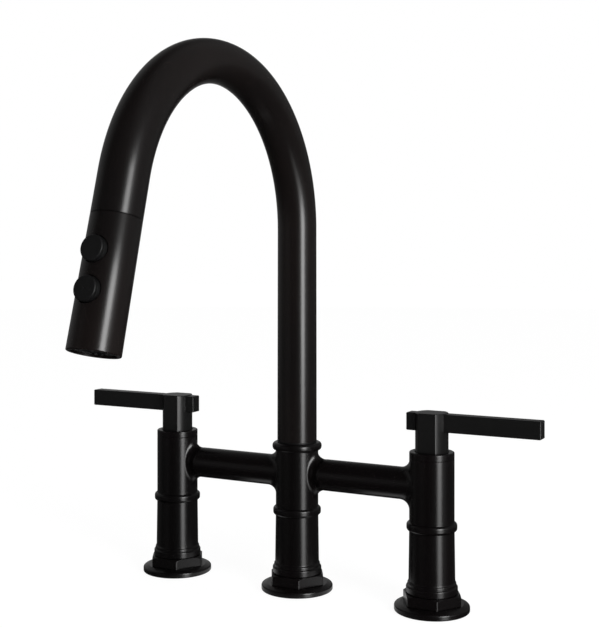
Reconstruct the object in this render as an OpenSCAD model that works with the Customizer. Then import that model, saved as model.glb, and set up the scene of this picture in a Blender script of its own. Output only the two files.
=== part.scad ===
// Bridge kitchen faucet: three legs, two lever valves, a swivelling gooseneck and a pull-down spray head.
// Millimetres. The origin is on the centre leg's axis, on the deck. +Z is up, +X points to the right
// handle, and the spout reaches towards -Y, where the user stands.

/* [Bridge] */
// Distance between the axes of the two outer legs
leg_spacing = 203.2; // [190:0.1:240]
// Outside diameter of the bridge tubes
bridge_d = 21.6; // [19:0.1:22.4]
// Wall of the bridge tubes
bridge_wall = 2; // [1:0.1:2.2]
// Height of the bridge tubes' axis above the bottom of the bodies
bridge_rise = 29.4; // [28:0.1:30]
// Radius of the fillets between the bridge tubes and the bodies
fillet_r = 7.5; // [3:0.1:7.6]

/* [Feet] */
// Diameter of the round flanges on the deck
flange_d = 50.4; // [49:0.1:60]
// Height of a flange at its rim
flange_rim_h = 3.6; // [3:0.1:4.5]
// Height of a flange under the hexagonal collar
flange_h = 5; // [4.6:0.1:8]
// Hexagonal collar, across the flats
hex_af = 35.9; // [35:0.1:38]
// Height of the hexagonal collar
hex_h = 7; // [5:0.1:10]
// Width of the sealing ring let into the underside of each flange
gasket_w = 5.3; // [3:0.1:6]
// Thickness of the sealing ring
gasket_t = 1.5; // [1:0.1:2]

/* [Legs] */
// Height of a leg between its hexagonal collar and its body
leg_h = 40.9; // [30:0.1:60]
// Diameter of a leg at the top
leg_d = 30.1; // [30:0.1:31]
// Diameter of a leg above its round collar
leg_foot_d = 31; // [30.5:0.1:32]
// Diameter of the round collar at the foot of a leg
collar_d = 34.4; // [33.5:0.1:35]
// Height of the round collar
collar_h = 4.6; // [3:0.1:6]
// Bore of the outer legs
leg_bore_d = 22; // [18:0.1:23]

/* [Shanks] */
// Thread diameter of the two outer shanks
shank_d = 20.9; // [19:0.1:21]
// Bore of the outer shanks
shank_bore_d = 16; // [12:0.1:17]
// Thread diameter of the centre shank
centre_shank_d = 28; // [27.6:0.1:28.4]
// Length of the shanks below the deck
shank_l = 50; // [30:0.5:70]

/* [Bodies] */
// Diameter of the valve bodies and of the centre body
body_d = 30; // [30:0.1:31]
// Height of the valve bodies, up to the bonnets
body_h = 47.8; // [47.2:0.1:52]
// Height of the centre body
centre_h = 51.05; // [50.6:0.05:56]
// How far the bead at the foot of every body stands out
bead_out = 1.85; // [1.5:0.05:2.4]
// Height of that bead
bead_h = 5.6; // [5:0.1:6]
// How far the bead at the top of the centre body stands out
top_bead_out = 2.4; // [1.8:0.05:2.6]
// Height of the top bead
top_bead_h = 5.7; // [5.3:0.1:6]
// Bore of the centre body, which takes the spout's journal
centre_bore_d = 25.2; // [25:0.1:25.6]
// Bore of the valve bodies, which takes the cartridge's thread
valve_bore_d = 20.9; // [20.4:0.1:22]
// Height of the bonnets over the valves
bonnet_h = 4.6; // [4.2:0.1:7]

/* [Handles] */
// Diameter of the posts that carry the levers
post_d = 22.1; // [20.4:0.1:23]
// Distance between the front and rear flats of a post
post_af = 18.7; // [17.5:0.1:19.6]
// Height of a post above its bonnet
post_h = 26; // [25:0.1:30]
// Width of the lever bars
bar_w = 9; // [7:0.1:10]
// Height of the lever bars
bar_h = 11.85; // [10:0.05:12.2]
// Reach of a lever bar from the handle's axis
bar_reach = 75.2; // [50:0.1:80]
// Length of the lever's stub on the other side of the axis
bar_stub = 16.8; // [12:0.1:22]
// Metal left above the bar in the post
bar_cover = 0.45; // [0.4:0.05:1.6]
// Diameter of the valve stems
stem_d = 8; // [6:0.1:9]

/* [Spout] */
// Diameter of the spout's tube
tube_d = 28; // [27.6:0.1:28.4]
// Wall of the spout's tube
tube_wall = 1.6; // [1.2:0.1:2]
// Height of the straight column above the centre body
column_h = 149.85; // [110:0.05:200]
// Radius of the gooseneck, at the middle of the tube
bend_r = 102.9; // [80:0.1:120]
// Angle through which the tube is bent
bend_angle = 164.67; // [150:0.01:180]
// Length of the straight end after the bend
end_l = 25; // [23.5:0.1:40]
// Diameter of the tube's flared end
end_d = 29; // [28.6:0.1:29.6]
// Diameter of the spray hose
hose_d = 11; // [9:0.1:11.6]

/* [Spray head] */
// Length of the spray head's shell
head_l = 75.3; // [73:0.1:95]
// Diameter of the head at its seam with the spout
head_top_d = 29; // [28.6:0.1:29.6]
// Diameter of the head at the spray face
head_d = 30; // [29.6:0.1:31]
// Bore of the shell
head_bore_d = 25.4; // [25:0.1:25.8]
// Depth of the spray face inside the shell's rim
face_depth = 1.5; // [0.8:0.1:2.4]
// Distance of the upper button from the seam
upper_button_at = 21.2; // [21:0.1:23.5]
// Distance between the two buttons
button_pitch = 22.1; // [18:0.1:24]
// Diameter of the buttons
button_d = 14.5; // [13:0.1:15.2]
// Height of a button's face above the head
button_proud = 2.6; // [2.3:0.1:4.5]
// Travel of the buttons
button_travel = 1.4; // [0.6:0.1:1.6]
// Number of nozzles in the inner ring of the spray face
inner_nozzles = 12; // [8:1:14]
// Number of nozzles in the outer ring of the spray face
outer_nozzles = 18; // [12:1:22]

/* [Clearances] */
// Gap between pieces that move past each other
gap = 0.3; // [0.2:0.05:0.4]
// Radial clearance of pieces that fit into each other
fit = 0.05; // [0.03:0.01:0.08]

/* [Hidden] */
$fn = 96;
lap = 0.5;
wider = 0.04;

// Colours of the finishes
satin_black = [0.035, 0.032, 0.032];
matt_black = [0.05, 0.05, 0.052];
brass = [0.72, 0.58, 0.32];
rubber = [0.06, 0.06, 0.06];
nylon = [0.82, 0.82, 0.80];
steel = [0.62, 0.63, 0.65];
braid = [0.30, 0.31, 0.33];
ceramic = [0.92, 0.91, 0.88];

// Heights, from the deck up
z_hex = flange_h;
z_leg = z_hex + hex_h;
z_body = z_leg + leg_h;
z_bridge = z_body + bridge_rise;
z_bonnet = z_body + body_h;
z_bonnet_top = z_bonnet + bonnet_h;
z_centre_top = z_body + centre_h;
leg_x = leg_spacing / 2;

// Foot: the leg's spigot stands in the flange and carries the hexagonal collar
spigot_d = 32;
z_spigot = 2.6;
shank_grip = 14;
gasket_mid_d = 40.5;
hex_r = hex_af / (2 * cos(30));
hex_chamfer = 1.4;
hex_crown = 2.1;
collar_round = 0.9;
shoulder_h = 2.1;
shoulder_out = 0.75;

// Joint between a leg and its body
joint_d = 27.8;
joint_l = 4.6;
z_floor = z_body + joint_l + gap;
centre_leg_bore_d = 24.8;

// Bodies and bridge
bead_d = body_d + 2 * bead_out;
top_bead_d = body_d + 2 * top_bead_out;
bridge_bore_d = bridge_d - 2 * bridge_wall;
port_wall = 1.75;
port_d = bridge_bore_d - 2 * fit - 2 * port_wall;
branch_l = body_d / 2 + fillet_r + gap;
branch_spigot_l = 5;

// Fillet rings: points around a tube, along the arc, and how far the ring is let into the metal
fillet_around = 48;
fillet_steps = 8;
fillet_margin = 7;
fillet_sink = 0.6;

// Valve
floor_t = 3.2;
z_seat = z_floor + floor_t;
seat_d = 12;
seal_t = 1.2;
z_cartridge = z_seat + seal_t;
cartridge_floor = 3.8;
cartridge_d = 18.8;
cavity_d = 13.6;
z_disc = z_cartridge + cartridge_floor;
disc_d = 13;
disc_t = 3.5;
window_h = 6;
window_w = 8;
z_stem = z_disc + disc_t;
z_cavity = z_stem + window_h;
skirt_l = 3.5;
skirt_d = 27.2;
z_shoulder = z_bonnet - skirt_l;
thread_l = 7;
hex_nut_r = 12.1;
hex_nut_h = 3.6;
cap_t = 1.2;
recess_depth = 0.8;
recess_d = post_d + 1;
z_cap_floor = z_bonnet_top - recess_depth;
bonnet_bore_d = 25;
bonnet_round = 0.8;

// Handle
z_post = z_cap_floor + gap;
z_post_top = z_bonnet_top + post_h;
z_bar_top = z_post_top - bar_cover;
z_bar = z_bar_top - bar_h;
z_stem_top = z_bar - 2.4;
post_edge = 0.6;
bar_edge = 0.5;
screw_d = 4;
screw_sink = 0.4;
z_screw = z_post + 5.8;

// Swivel of the spout in the centre body
glide_t = 0.8;
z_tube = z_centre_top + glide_t + 0.1;
tube_bore_d = tube_d - 2 * tube_wall;
plug_l = 12;
journal_l = 11.2;
z_journal = z_tube - journal_l;
tail_d = 19.2;
hose_way_d = hose_d + 2.2;
core_l = 13.2;
z_core = z_floor;
z_core_top = z_core + core_l;
bearing_l = 7.2;
z_bearing = z_core_top - bearing_l;
z_tail = z_bearing + 0.5;
pipe_d = 5.6;
pipe_bore_d = 4;
pipe_y = 9.3;
pipe_socket = 3;
passage_d = 2.6;
passage_y = (tail_d + centre_bore_d) / 4;
retainer_d = 3;
retainer_z = z_centre_top - 3.6;
retainer_groove = 3.6;
retainer_depth = 1.6;
upper_ring_r = 1.05;
upper_ring_z = z_journal + 2.1;
lower_ring_r = 0.85;
lower_ring_z = z_bearing + 3.7;
ring_side = 0.15;

// Gooseneck
z_bend = z_centre_top + column_h;
y_end = -bend_r * (1 - cos(bend_angle));
z_end = z_bend + bend_r * sin(bend_angle);
hose_drop = 12;
pipe_drop = 20;
hose_z = -shank_l - hose_drop;
pipe_z = -shank_l - pipe_drop;
ferrule_d = 12;
ferrule_l = 8;
nipple_d = 8.4;
nipple_l = 12;

// Docking of the head in the spout's end
sleeve_from = 2;
sleeve_stop = 3;
sleeve_inset = 0.5;
neck_d = 20.5;
neck_tip_d = 19.4;
neck_l = 16;
neck_flange_t = 6;
shell_top = 3;
nut_d = 14;
nut_up = 12;
waterway_d = 6;
nut_floor = 1;

// Spray head, measured along its axis from the seam
core_top = shell_top + neck_flange_t;
valve_l = 7;
valve_d = 9.9;
valve_way_d = 5;
face_t = 3;
mat_t = 2;
cup_l = 15.8;
face_bottom = head_l - face_depth;
cup_top = face_bottom - cup_l;
cup_wall = 1.4;
rim_edge = 0.8;
seam_edge = 0.3;
insert_d = head_bore_d - 2 * fit;
aerator_d = 10;
inner_ring_r = 7.3;
outer_ring_r = 9.6;
nozzle_d = 1.6;
nozzle_out = 0.6;

// Buttons, measured outwards from the head's axis
lower_button_at = upper_button_at + button_pitch;
head_r_at_buttons = (head_top_d + (head_d - head_top_d) * (upper_button_at + button_pitch / 2) / head_l) / 2;
button_face = head_r_at_buttons + button_proud;
pocket_d = button_d + 1.2;
button_base = sqrt(pow(head_r_at_buttons, 2) - pow(pocket_d / 2, 2)) - 0.2;
pocket_floor = button_base - button_travel - 0.4;
button_edge = 0.4;
button_groove_at = 1.8;
button_groove = 0.35;
button_neck_d = 9.2;
button_hole_d = button_neck_d + 2 * gap;
neck_end = pocket_floor - 1.4;
spring_floor = 5.4;
spring_d = 7.2;
spring_bore_d = 5.4;
spool_d = 4.4;
spool_end = 2.5;
spool_way = 0.5;
dimple_r = 0.6;

// Round bar on the Z axis between two heights
module disc(d, z0, z1) {
    translate([0, 0, z0]) cylinder(d = d, h = z1 - z0);
}

// Tube on the Z axis between two heights
module sleeve(d, bore, z0, z1) {
    difference() {
        disc(d, z0, z1);
        disc(bore, z0 - 1, z1 + 1);
    }
}

// Turned band whose two outer edges are rounded
module round_band(d, z0, z1, round) {
    rotate_extrude() {
        translate([0, z0]) square([d / 2 - round, z1 - z0]);
        translate([0, z0 + round]) square([d / 2, z1 - z0 - 2 * round]);
        for (z = [z0 + round, z1 - round]) translate([d / 2 - round, z]) circle(r = round);
    }
}

// Round seal lying across the Z axis
module o_ring(d, r, z) {
    translate([0, 0, z]) rotate_extrude() translate([d / 2, 0]) circle(r = r);
}

// Round bar along +X at the height of the bridge
module bridge_bar(d, x0, x1) {
    translate([x0, 0, z_bridge]) rotate([0, 90, 0]) cylinder(d = d, h = x1 - x0);
}

// Point of the fillet ring at angle a around the branch: i counts along the blend from the tube to the body.
// A ball of radius fillet_r rolls in the corner and touches both cylinders; the last points close the ring
// inside the metal.
function fillet_point(a, i) =
    let (
        r = bridge_d / 2,
        rb = body_d / 2,
        q = r + fillet_r,
        c = [sqrt(pow(rb + fillet_r, 2) - pow(q * cos(a), 2)), q * cos(a), q * sin(a)],
        to_tube = [0, -cos(a), -sin(a)],
        to_body = [-c.x, -c.y, 0] / (rb + fillet_r),
        w = acos(to_tube * to_body),
        t = fillet_margin / w + min(i, fillet_steps) / fillet_steps * (1 - 2 * fillet_margin / w),
        p = c + fillet_r * (to_tube * sin((1 - t) * w) + to_body * sin(t * w)) / sin(w),
        rs = r - fillet_sink,
        inner = rb - fillet_sink
    )
    i <= fillet_steps ? p :
    i == fillet_steps + 1 ? [p.x * inner / norm([p.x, p.y]), p.y * inner / norm([p.x, p.y]), p.z] :
    i == fillet_steps + 2 ? [sqrt(pow(inner, 2) - pow(rs * cos(a), 2)), rs * cos(a), rs * sin(a)] :
    [c.x, rs * cos(a), rs * sin(a)];

module fillet_ring() {
    n = fillet_steps + 4;
    m = fillet_around;
    points = [for (k = [0 : m - 1]) for (i = [0 : n - 1]) fillet_point(360 * k / m, i)];
    faces = [
        for (k = [0 : m - 1]) for (i = [0 : n - 1])
            let (k2 = (k + 1) % m, i2 = (i + 1) % n)
            each [[k * n + i, k2 * n + i2, k * n + i2], [k * n + i, k2 * n + i, k2 * n + i2]]
    ];
    translate([0, 0, z_bridge]) polyhedron(points = points, faces = faces);
}

// Branch of a body towards +X, with its fillet and the spigot that the bridge tube slides over
module branch() {
    bridge_bar(bridge_d, 0, branch_l);
    bridge_bar(bridge_bore_d - 2 * fit, branch_l - 1, branch_l + branch_spigot_l);
    fillet_ring();
}

// Outside of a body on the Z axis, with the bead at its foot
module body_outside(h) {
    disc(body_d, z_body + bead_h / 2, z_body + h);
    round_band(bead_d, z_body, z_body + bead_h, bead_out);
}

// Pieces at a leg: -1 is the left leg, 0 the centre and 1 the right
module at_leg(side) {
    translate([side * leg_x, 0, 0]) children();
}

function own_shank_d(side) = side == 0 ? centre_shank_d : shank_d;
function own_leg_bore_d(side) = side == 0 ? centre_leg_bore_d : leg_bore_d;

module flange(side) {
    color(satin_black) at_leg(side) difference() {
        union() {
            round_band(flange_d, 0, flange_rim_h, 1);
            rotate_extrude() polygon([
                [0, 1], [flange_d / 2 - 1, 1], [flange_d / 2 - 1, flange_rim_h], [hex_r + 0.5, flange_h], [0, flange_h]
            ]);
        }
        disc(own_shank_d(side) + 2 * gap, -1, flange_h);
        disc(spigot_d + 2 * fit, z_spigot, flange_h + 1);
        sleeve(gasket_mid_d + gasket_w, gasket_mid_d - gasket_w, -1, gasket_t);
    }
}

module deck_gaskets() {
    color(rubber) for (side = [-1, 0, 1])
        at_leg(side) sleeve(gasket_mid_d + gasket_w - 4 * fit, gasket_mid_d - gasket_w + 4 * fit, 0, gasket_t);
}

module hex_collar(side) {
    color(satin_black) at_leg(side) difference() {
        intersection() {
            translate([0, 0, z_hex]) cylinder(r = hex_r, h = hex_h, $fn = 6);
            rotate_extrude() polygon([
                [0, z_hex], [hex_r + 1, z_hex], [hex_r + 1, z_leg - hex_chamfer],
                [hex_r, z_leg - hex_chamfer], [hex_r - hex_crown, z_leg], [0, z_leg]
            ]);
        }
        disc(spigot_d + 2 * fit, z_hex - 1, z_leg + 1);
    }
}

module shank(side) {
    bore = side == 0 ? centre_leg_bore_d : shank_bore_d;
    color(brass) at_leg(side) difference() {
        union() {
            disc(own_shank_d(side), -shank_l, 0);
            disc(own_shank_d(side) - 0.4, -1, shank_grip);
        }
        disc(bore, -shank_l - 1, shank_grip + 1);
    }
}

module leg(side) {
    socket_d = own_shank_d(side) - 0.4 + 2 * fit;
    z_shoulder_ring = z_leg + collar_h;
    color(satin_black) at_leg(side) difference() {
        union() {
            disc(spigot_d, z_spigot, z_leg + 1);
            round_band(collar_d, z_leg, z_shoulder_ring, collar_round);
            round_band(leg_foot_d + 2 * shoulder_out, z_leg + 1, z_shoulder_ring + shoulder_h, shoulder_out + 0.6);
            translate([0, 0, z_leg + 1]) cylinder(d1 = leg_foot_d, d2 = leg_d, h = leg_h - 1);
            disc(joint_d, z_body - 1, z_body + joint_l);
        }
        disc(own_leg_bore_d(side), shank_grip + gap, z_body + joint_l + 1);
        disc(socket_d, z_spigot - 1, shank_grip + gap);
    }
}

module valve_body(side) {
    color(satin_black) at_leg(side) difference() {
        union() {
            body_outside(body_h);
            mirror([side > 0 ? 1 : 0, 0, 0]) branch();
        }
        disc(joint_d + 2 * fit, z_body - 1, z_floor);
        disc(seat_d, z_floor - 1, z_seat + 1);
        disc(valve_bore_d, z_seat, z_shoulder + 1);
        disc(skirt_d, z_shoulder, z_bonnet + 1);
        mirror([side > 0 ? 1 : 0, 0, 0]) bridge_bar(port_d, 0, branch_l + branch_spigot_l + 1);
    }
}

module centre_body() {
    color(satin_black) difference() {
        union() {
            body_outside(centre_h - top_bead_h / 2);
            round_band(top_bead_d, z_centre_top - top_bead_h, z_centre_top, top_bead_out);
            for (m = [0, 1]) mirror([m, 0, 0]) branch();
        }
        disc(joint_d + 2 * fit, z_body - 1, z_floor);
        disc(centre_bore_d, z_floor - 1, z_centre_top + 1);
        for (m = [0, 1]) mirror([m, 0, 0]) bridge_bar(port_d, 0, branch_l + branch_spigot_l + 1);
        translate([0, 0, retainer_z]) rotate([-90, 0, 0]) disc(retainer_d + 2 * fit, 0, top_bead_d);
    }
}

module bridge_tube(side) {
    color(satin_black) mirror([side < 0 ? 1 : 0, 0, 0]) difference() {
        bridge_bar(bridge_d, branch_l, leg_x - branch_l);
        bridge_bar(bridge_bore_d, branch_l - 1, leg_x - branch_l + 1);
    }
}

module seat_seals() {
    color(rubber) for (side = [-1, 1]) at_leg(side) sleeve(cartridge_d - 1, seat_d, z_seat, z_cartridge);
}

// Ceramic cartridge: two inlets in its floor, windows at the height of the turning disc, thread and hexagon
module cartridge(side) {
    color(brass) at_leg(side) difference() {
        union() {
            disc(cartridge_d, z_cartridge, z_shoulder);
            disc(valve_bore_d - 2 * fit, z_shoulder - thread_l, z_shoulder);
            translate([0, 0, z_shoulder]) cylinder(r = hex_nut_r, h = hex_nut_h, $fn = 6);
            disc(seat_d, z_shoulder, z_cap_floor - cap_t - gap);
        }
        disc(stem_d + 2 * fit, z_cavity - 1, z_cap_floor + 1);
        disc(cavity_d, z_disc, z_cavity);
        for (y = [-1, 1]) translate([0, y * seat_d / 4, 0]) disc(seat_d / 3, z_cartridge - 1, z_disc + 1);
        for (turn = [0, 90]) rotate([0, 0, turn])
            translate([-cartridge_d, -window_w / 2, z_stem]) cube([2 * cartridge_d, window_w, window_h]);
    }
}

module bonnet(side) {
    color(satin_black) at_leg(side) difference() {
        union() {
            intersection() {
                round_band(body_d, z_bonnet - 2, z_bonnet_top, bonnet_round);
                disc(body_d + 1, z_bonnet, z_bonnet_top);
            }
            disc(skirt_d - 2 * fit, z_shoulder + gap, z_bonnet + 1);
        }
        disc(bonnet_bore_d, z_shoulder - 1, z_cap_floor - cap_t);
        disc(stem_d + 1, z_shoulder - 1, z_bonnet_top + 1);
        disc(recess_d, z_cap_floor, z_bonnet_top + 1);
    }
}

// Fixed core of the centre body: it guides the spout's journal, lets the hose through its middle and
// leads the mixed water from the bridge into the downpipe
module centre_core() {
    color(brass) difference() {
        disc(centre_bore_d - 2 * fit, z_core, z_core_top);
        disc(tail_d + 2 * fit, z_bearing, z_core_top + 1);
        disc(hose_d + 1.4, z_core - 1, z_core_top);
        translate([0, pipe_y, 0]) disc(pipe_d + 2 * fit, z_core - 1, z_core + pipe_socket);
        translate([0, passage_y, 0]) disc(passage_d, z_core + 1, z_core_top + 1);
    }
}

module downpipe() {
    color(brass) translate([0, pipe_y, 0]) sleeve(pipe_d, pipe_bore_d, pipe_z, z_core + pipe_socket - gap);
}

module glide_ring() {
    color(nylon) sleeve(tube_d - 0.4, centre_bore_d + 2 * fit, z_centre_top, z_centre_top + glide_t);
}

module retaining_screw() {
    tip = centre_bore_d / 2 - retainer_depth + 0.5;
    color(steel) translate([0, 0, retainer_z]) rotate([-90, 0, 0]) difference() {
        disc(retainer_d, tip, top_bead_d / 2 - screw_sink);
        translate([0, 0, top_bead_d / 2 - screw_sink - 1.6]) cylinder(d = retainer_d / 2, h = 3, $fn = 6);
    }
}

// Solid that follows the middle of the spout: a column, the bend, and what stands at its end. The straight
// end is a hair wider than the bend and starts inside it, so the two join on a clean edge.
module gooseneck(d, z0) {
    translate([0, 0, z_bend]) rotate([180, 0, 0]) cylinder(d = d, h = z_bend - z0);
    translate([0, -bend_r, z_bend]) rotate([90, 0, 90])
        rotate_extrude(angle = bend_angle) translate([bend_r, 0]) circle(d = d);
    at_bend_end() translate([0, 0, -lap]) children();
}

// Frame at the end of the bend: +Z leads along the flow and +Y towards the user
module at_bend_end() {
    translate([0, y_end, z_end]) rotate([bend_angle, 0, 0]) children();
}

// Frame of the spray head, from its seam with the spout
module at_head() {
    at_bend_end() translate([0, 0, end_l + gap]) children();
}

// Frame of a button: +Z leads out of the head
module at_button(w) {
    at_head() translate([0, 0, w]) rotate([-90, 0, 0]) children();
}

module spout_tube() {
    color(satin_black) difference() {
        gooseneck(tube_d, z_tube) cylinder(d1 = tube_d + wider, d2 = end_d, h = end_l + lap);
        gooseneck(tube_bore_d, z_tube - 1) cylinder(d = tube_bore_d + wider, h = end_l + lap + 1);
    }
}

module spout_journal() {
    color(brass) difference() {
        union() {
            disc(tube_bore_d - 2 * fit, z_tube - 1, z_tube + plug_l);
            disc(centre_bore_d - 2 * fit, z_journal, z_tube);
            disc(tail_d, z_tail, z_journal + 1);
        }
        disc(hose_way_d, z_tail - 1, z_tube + plug_l + 1);
        sleeve(centre_bore_d + 2, centre_bore_d - 2 * retainer_depth,
            retainer_z - retainer_groove / 2, retainer_z + retainer_groove / 2);
        sleeve(centre_bore_d + 2, centre_bore_d - 4 * upper_ring_r - 0.3,
            upper_ring_z - upper_ring_r - ring_side, upper_ring_z + upper_ring_r + ring_side);
        sleeve(tail_d + 2, tail_d - 4 * lower_ring_r - 0.2,
            lower_ring_z - lower_ring_r - ring_side, lower_ring_z + lower_ring_r + ring_side);
    }
}

module journal_o_rings() {
    color(rubber) {
        o_ring(centre_bore_d - 2 * upper_ring_r - 0.2, upper_ring_r, upper_ring_z);
        o_ring(tail_d - 2 * lower_ring_r - 0.1, lower_ring_r, lower_ring_z);
    }
}

// Lining of the spout's end, in which the head's neck docks
module dock_sleeve() {
    color(nylon) at_bend_end() difference() {
        disc(tube_bore_d - 2 * fit, sleeve_from, end_l - sleeve_inset);
        disc(hose_d + 2, sleeve_from - 1, end_l);
        disc(neck_d + 2 * gap, sleeve_from + sleeve_stop, end_l + 1);
    }
}

module spray_hose() {
    color(braid) gooseneck(hose_d, hose_z) disc(hose_d + wider, 0, lap + end_l + gap - nut_floor - 0.2);
}

module hose_coupling() {
    color(steel) difference() {
        union() {
            disc(ferrule_d, hose_z - 1, hose_z + ferrule_l);
            disc(nipple_d, hose_z - nipple_l, hose_z);
        }
        disc(hose_d + 2 * fit, hose_z, hose_z + ferrule_l + 1);
        disc(waterway_d, hose_z - nipple_l - 1, hose_z + 1);
        sleeve(nipple_d + 2, nipple_d - 1.2, hose_z - nipple_l + 3, hose_z - nipple_l + 5);
    }
}

module head_shell() {
    color(satin_black) {
        difference() {
            at_head() difference() {
                rotate_extrude() polygon([
                    [0, 0], [head_top_d / 2 - seam_edge, 0], [head_top_d / 2, seam_edge],
                    [head_d / 2, head_l - rim_edge], [head_d / 2 - rim_edge, head_l], [0, head_l]
                ]);
                disc(neck_d + 2 * fit, -1, shell_top + 1);
                disc(head_bore_d, shell_top, head_l + 1);
            }
            for (w = [upper_button_at, lower_button_at]) at_button(w) disc(pocket_d, 4, head_d);
        }
    }
}

// Neck on top of the head: it docks in the spout and is clamped under the shell's top
module dock_neck() {
    color(matt_black) at_head() difference() {
        union() {
            translate([0, 0, -neck_l]) cylinder(d1 = neck_tip_d, d2 = neck_d, h = neck_l);
            disc(neck_d, -0.02, shell_top);
            disc(insert_d, shell_top, core_top);
        }
        disc(nut_d + 2 * fit, -neck_l - 1, core_top + 1);
    }
}

module hose_nut() {
    color(brass) at_head() difference() {
        disc(nut_d, -nut_up, core_top);
        disc(hose_d + 2 * fit, -nut_up - 1, -nut_floor);
        disc(waterway_d, -nut_up, core_top + 1);
    }
}

module check_valve() {
    color(nylon) at_head() sleeve(valve_d, valve_way_d, core_top, core_top + valve_l);
}

// Body of the sprayer: the waterway along its axis and the seats of the two buttons
module spray_core() {
    color(matt_black) difference() {
        at_head() difference() {
            disc(insert_d, core_top, cup_top);
            disc(valve_d + 2 * fit, core_top - 1, core_top + valve_l);
            disc(waterway_d, core_top - 1, cup_top + 1);
        }
        for (w = [upper_button_at, lower_button_at]) at_button(w) {
            disc(pocket_d, pocket_floor, head_d);
            disc(button_hole_d, spring_floor, head_d);
            disc(spool_d + 2 * fit, spool_way, spring_floor + 1);
        }
    }
}

function ring_points(count, r) = [for (k = [0 : count - 1]) [r * cos(360 * k / count), r * sin(360 * k / count)]];
function nozzle_points() = concat(ring_points(inner_nozzles, inner_ring_r), ring_points(outer_nozzles, outer_ring_r));

// Cup that closes the bottom of the head, with a hole for each nozzle
module spray_face() {
    color(matt_black) at_head() difference() {
        disc(insert_d, cup_top, face_bottom);
        disc(insert_d - 2 * cup_wall, cup_top - 1, face_bottom - face_t);
        disc(aerator_d + 2 * fit, cup_top, face_bottom + 1);
        for (p = nozzle_points()) translate([p.x, p.y, 0]) disc(nozzle_d + 2 * fit, cup_top, face_bottom + 1);
    }
}

// Soft mat whose nozzles stand through the face
module nozzle_mat() {
    color(rubber) at_head() difference() {
        union() {
            disc(insert_d - 2 * cup_wall - 2 * fit, face_bottom - face_t - mat_t, face_bottom - face_t);
            for (p = nozzle_points()) translate([p.x, p.y, 0])
                disc(nozzle_d, face_bottom - face_t - mat_t, face_bottom + nozzle_out);
        }
        disc(aerator_d + 2 * fit, cup_top, face_bottom + 1);
    }
}

module aerator() {
    color(nylon) at_head() difference() {
        disc(aerator_d, face_bottom - face_t - mat_t - 3, face_bottom + 0.2);
        disc(aerator_d - 2.4, face_bottom - 1.2, face_bottom + 1);
        for (p = ring_points(6, 2.6)) translate([p.x, p.y, 0]) disc(1.6, cup_top, face_bottom + 1);
        disc(1.6, cup_top, face_bottom + 1);
    }
}

module button_spring(w) {
    color(steel) at_button(w) sleeve(spring_d, spring_bore_d, spring_floor, neck_end);
}

// Round button with a fine groove around it, on the neck that the spring pushes out
module button_disc(w) {
    r = button_d / 2;
    e = button_edge;
    g = button_groove;
    z_groove = button_face - button_groove_at;
    color(matt_black) at_button(w) {
        rotate_extrude() polygon([
            [0, button_base], [r - e, button_base], [r, button_base + e],
            [r, z_groove - g], [r - g, z_groove - g], [r - g, z_groove], [r, z_groove],
            [r, button_face - e], [r - e, button_face], [0, button_face]
        ]);
        disc(button_neck_d, neck_end, button_base + 1);
    }
}

module upper_button() {
    button_disc(upper_button_at);
}

// The lower button has a small dimple in the middle of its face
module lower_button() {
    color(matt_black) difference() {
        button_disc(lower_button_at);
        at_button(lower_button_at) translate([0, 0, button_face + 0.3]) sphere(r = dimple_r);
    }
}

module spool(w) {
    color(nylon) at_button(w) disc(spool_d, spool_end, neck_end);
}

// Handle pieces stand at the right leg and are mirrored for the left one
module at_handle(side) {
    mirror([side < 0 ? 1 : 0, 0, 0]) translate([leg_x, 0, 0]) children();
}

// Bar along X with all its edges chamfered
module lever_solid() {
    l = bar_stub + bar_reach;
    w = bar_w;
    h = bar_h;
    c = bar_edge;
    translate([-bar_stub, 0, z_bar]) intersection() {
        rotate([90, 0, 90]) linear_extrude(l) polygon([
            [-w / 2 + c, 0], [w / 2 - c, 0], [w / 2, c], [w / 2, h - c],
            [w / 2 - c, h], [-w / 2 + c, h], [-w / 2, h - c], [-w / 2, c]
        ]);
        linear_extrude(h) polygon([
            [c, -w / 2], [l - c, -w / 2], [l, -w / 2 + c], [l, w / 2 - c],
            [l - c, w / 2], [c, w / 2], [0, w / 2 - c], [0, -w / 2 + c]
        ]);
        translate([0, w / 2, 0]) rotate([90, 0, 0]) linear_extrude(w) polygon([
            [c, 0], [l - c, 0], [l, c], [l, h - c], [l - c, h], [c, h], [0, h - c], [0, c]
        ]);
    }
}

module post(side) {
    r = post_d / 2;
    f = post_af / 2;
    e = post_edge;
    color(matt_black) at_handle(side) difference() {
        intersection() {
            rotate_extrude() polygon([
                [0, z_post], [r, z_post], [r, z_post_top - e], [r - e, z_post_top], [0, z_post_top]
            ]);
            translate([-post_d, 0, 0]) rotate([90, 0, 90]) linear_extrude(2 * post_d) polygon([
                [-f, z_post - 1], [f, z_post - 1], [f, z_post_top - e],
                [f - e, z_post_top], [e - f, z_post_top], [-f, z_post_top - e]
            ]);
        }
        translate([-post_d, -bar_w / 2 - fit, z_bar - fit]) cube([2 * post_d, bar_w + 2 * fit, bar_h + 2 * fit]);
        disc(stem_d + 2 * fit, z_post - 1, z_stem_top + fit);
        translate([0, 0, z_screw]) rotate([-90, 0, 0]) disc(screw_d + 2 * fit, 0, post_d);
    }
}

module bar(side) {
    color(matt_black) at_handle(side) lever_solid();
}

module stem(side) {
    color(brass) at_handle(side) disc(stem_d, z_stem, z_stem_top);
}

module valve_disc(side) {
    color(ceramic) at_handle(side) difference() {
        disc(disc_d, z_disc + 0.1, z_stem);
        for (x = [-1, 1]) translate([x * seat_d / 4, 0, 0]) disc(seat_d / 4, z_disc, z_stem + 1);
    }
}

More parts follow.
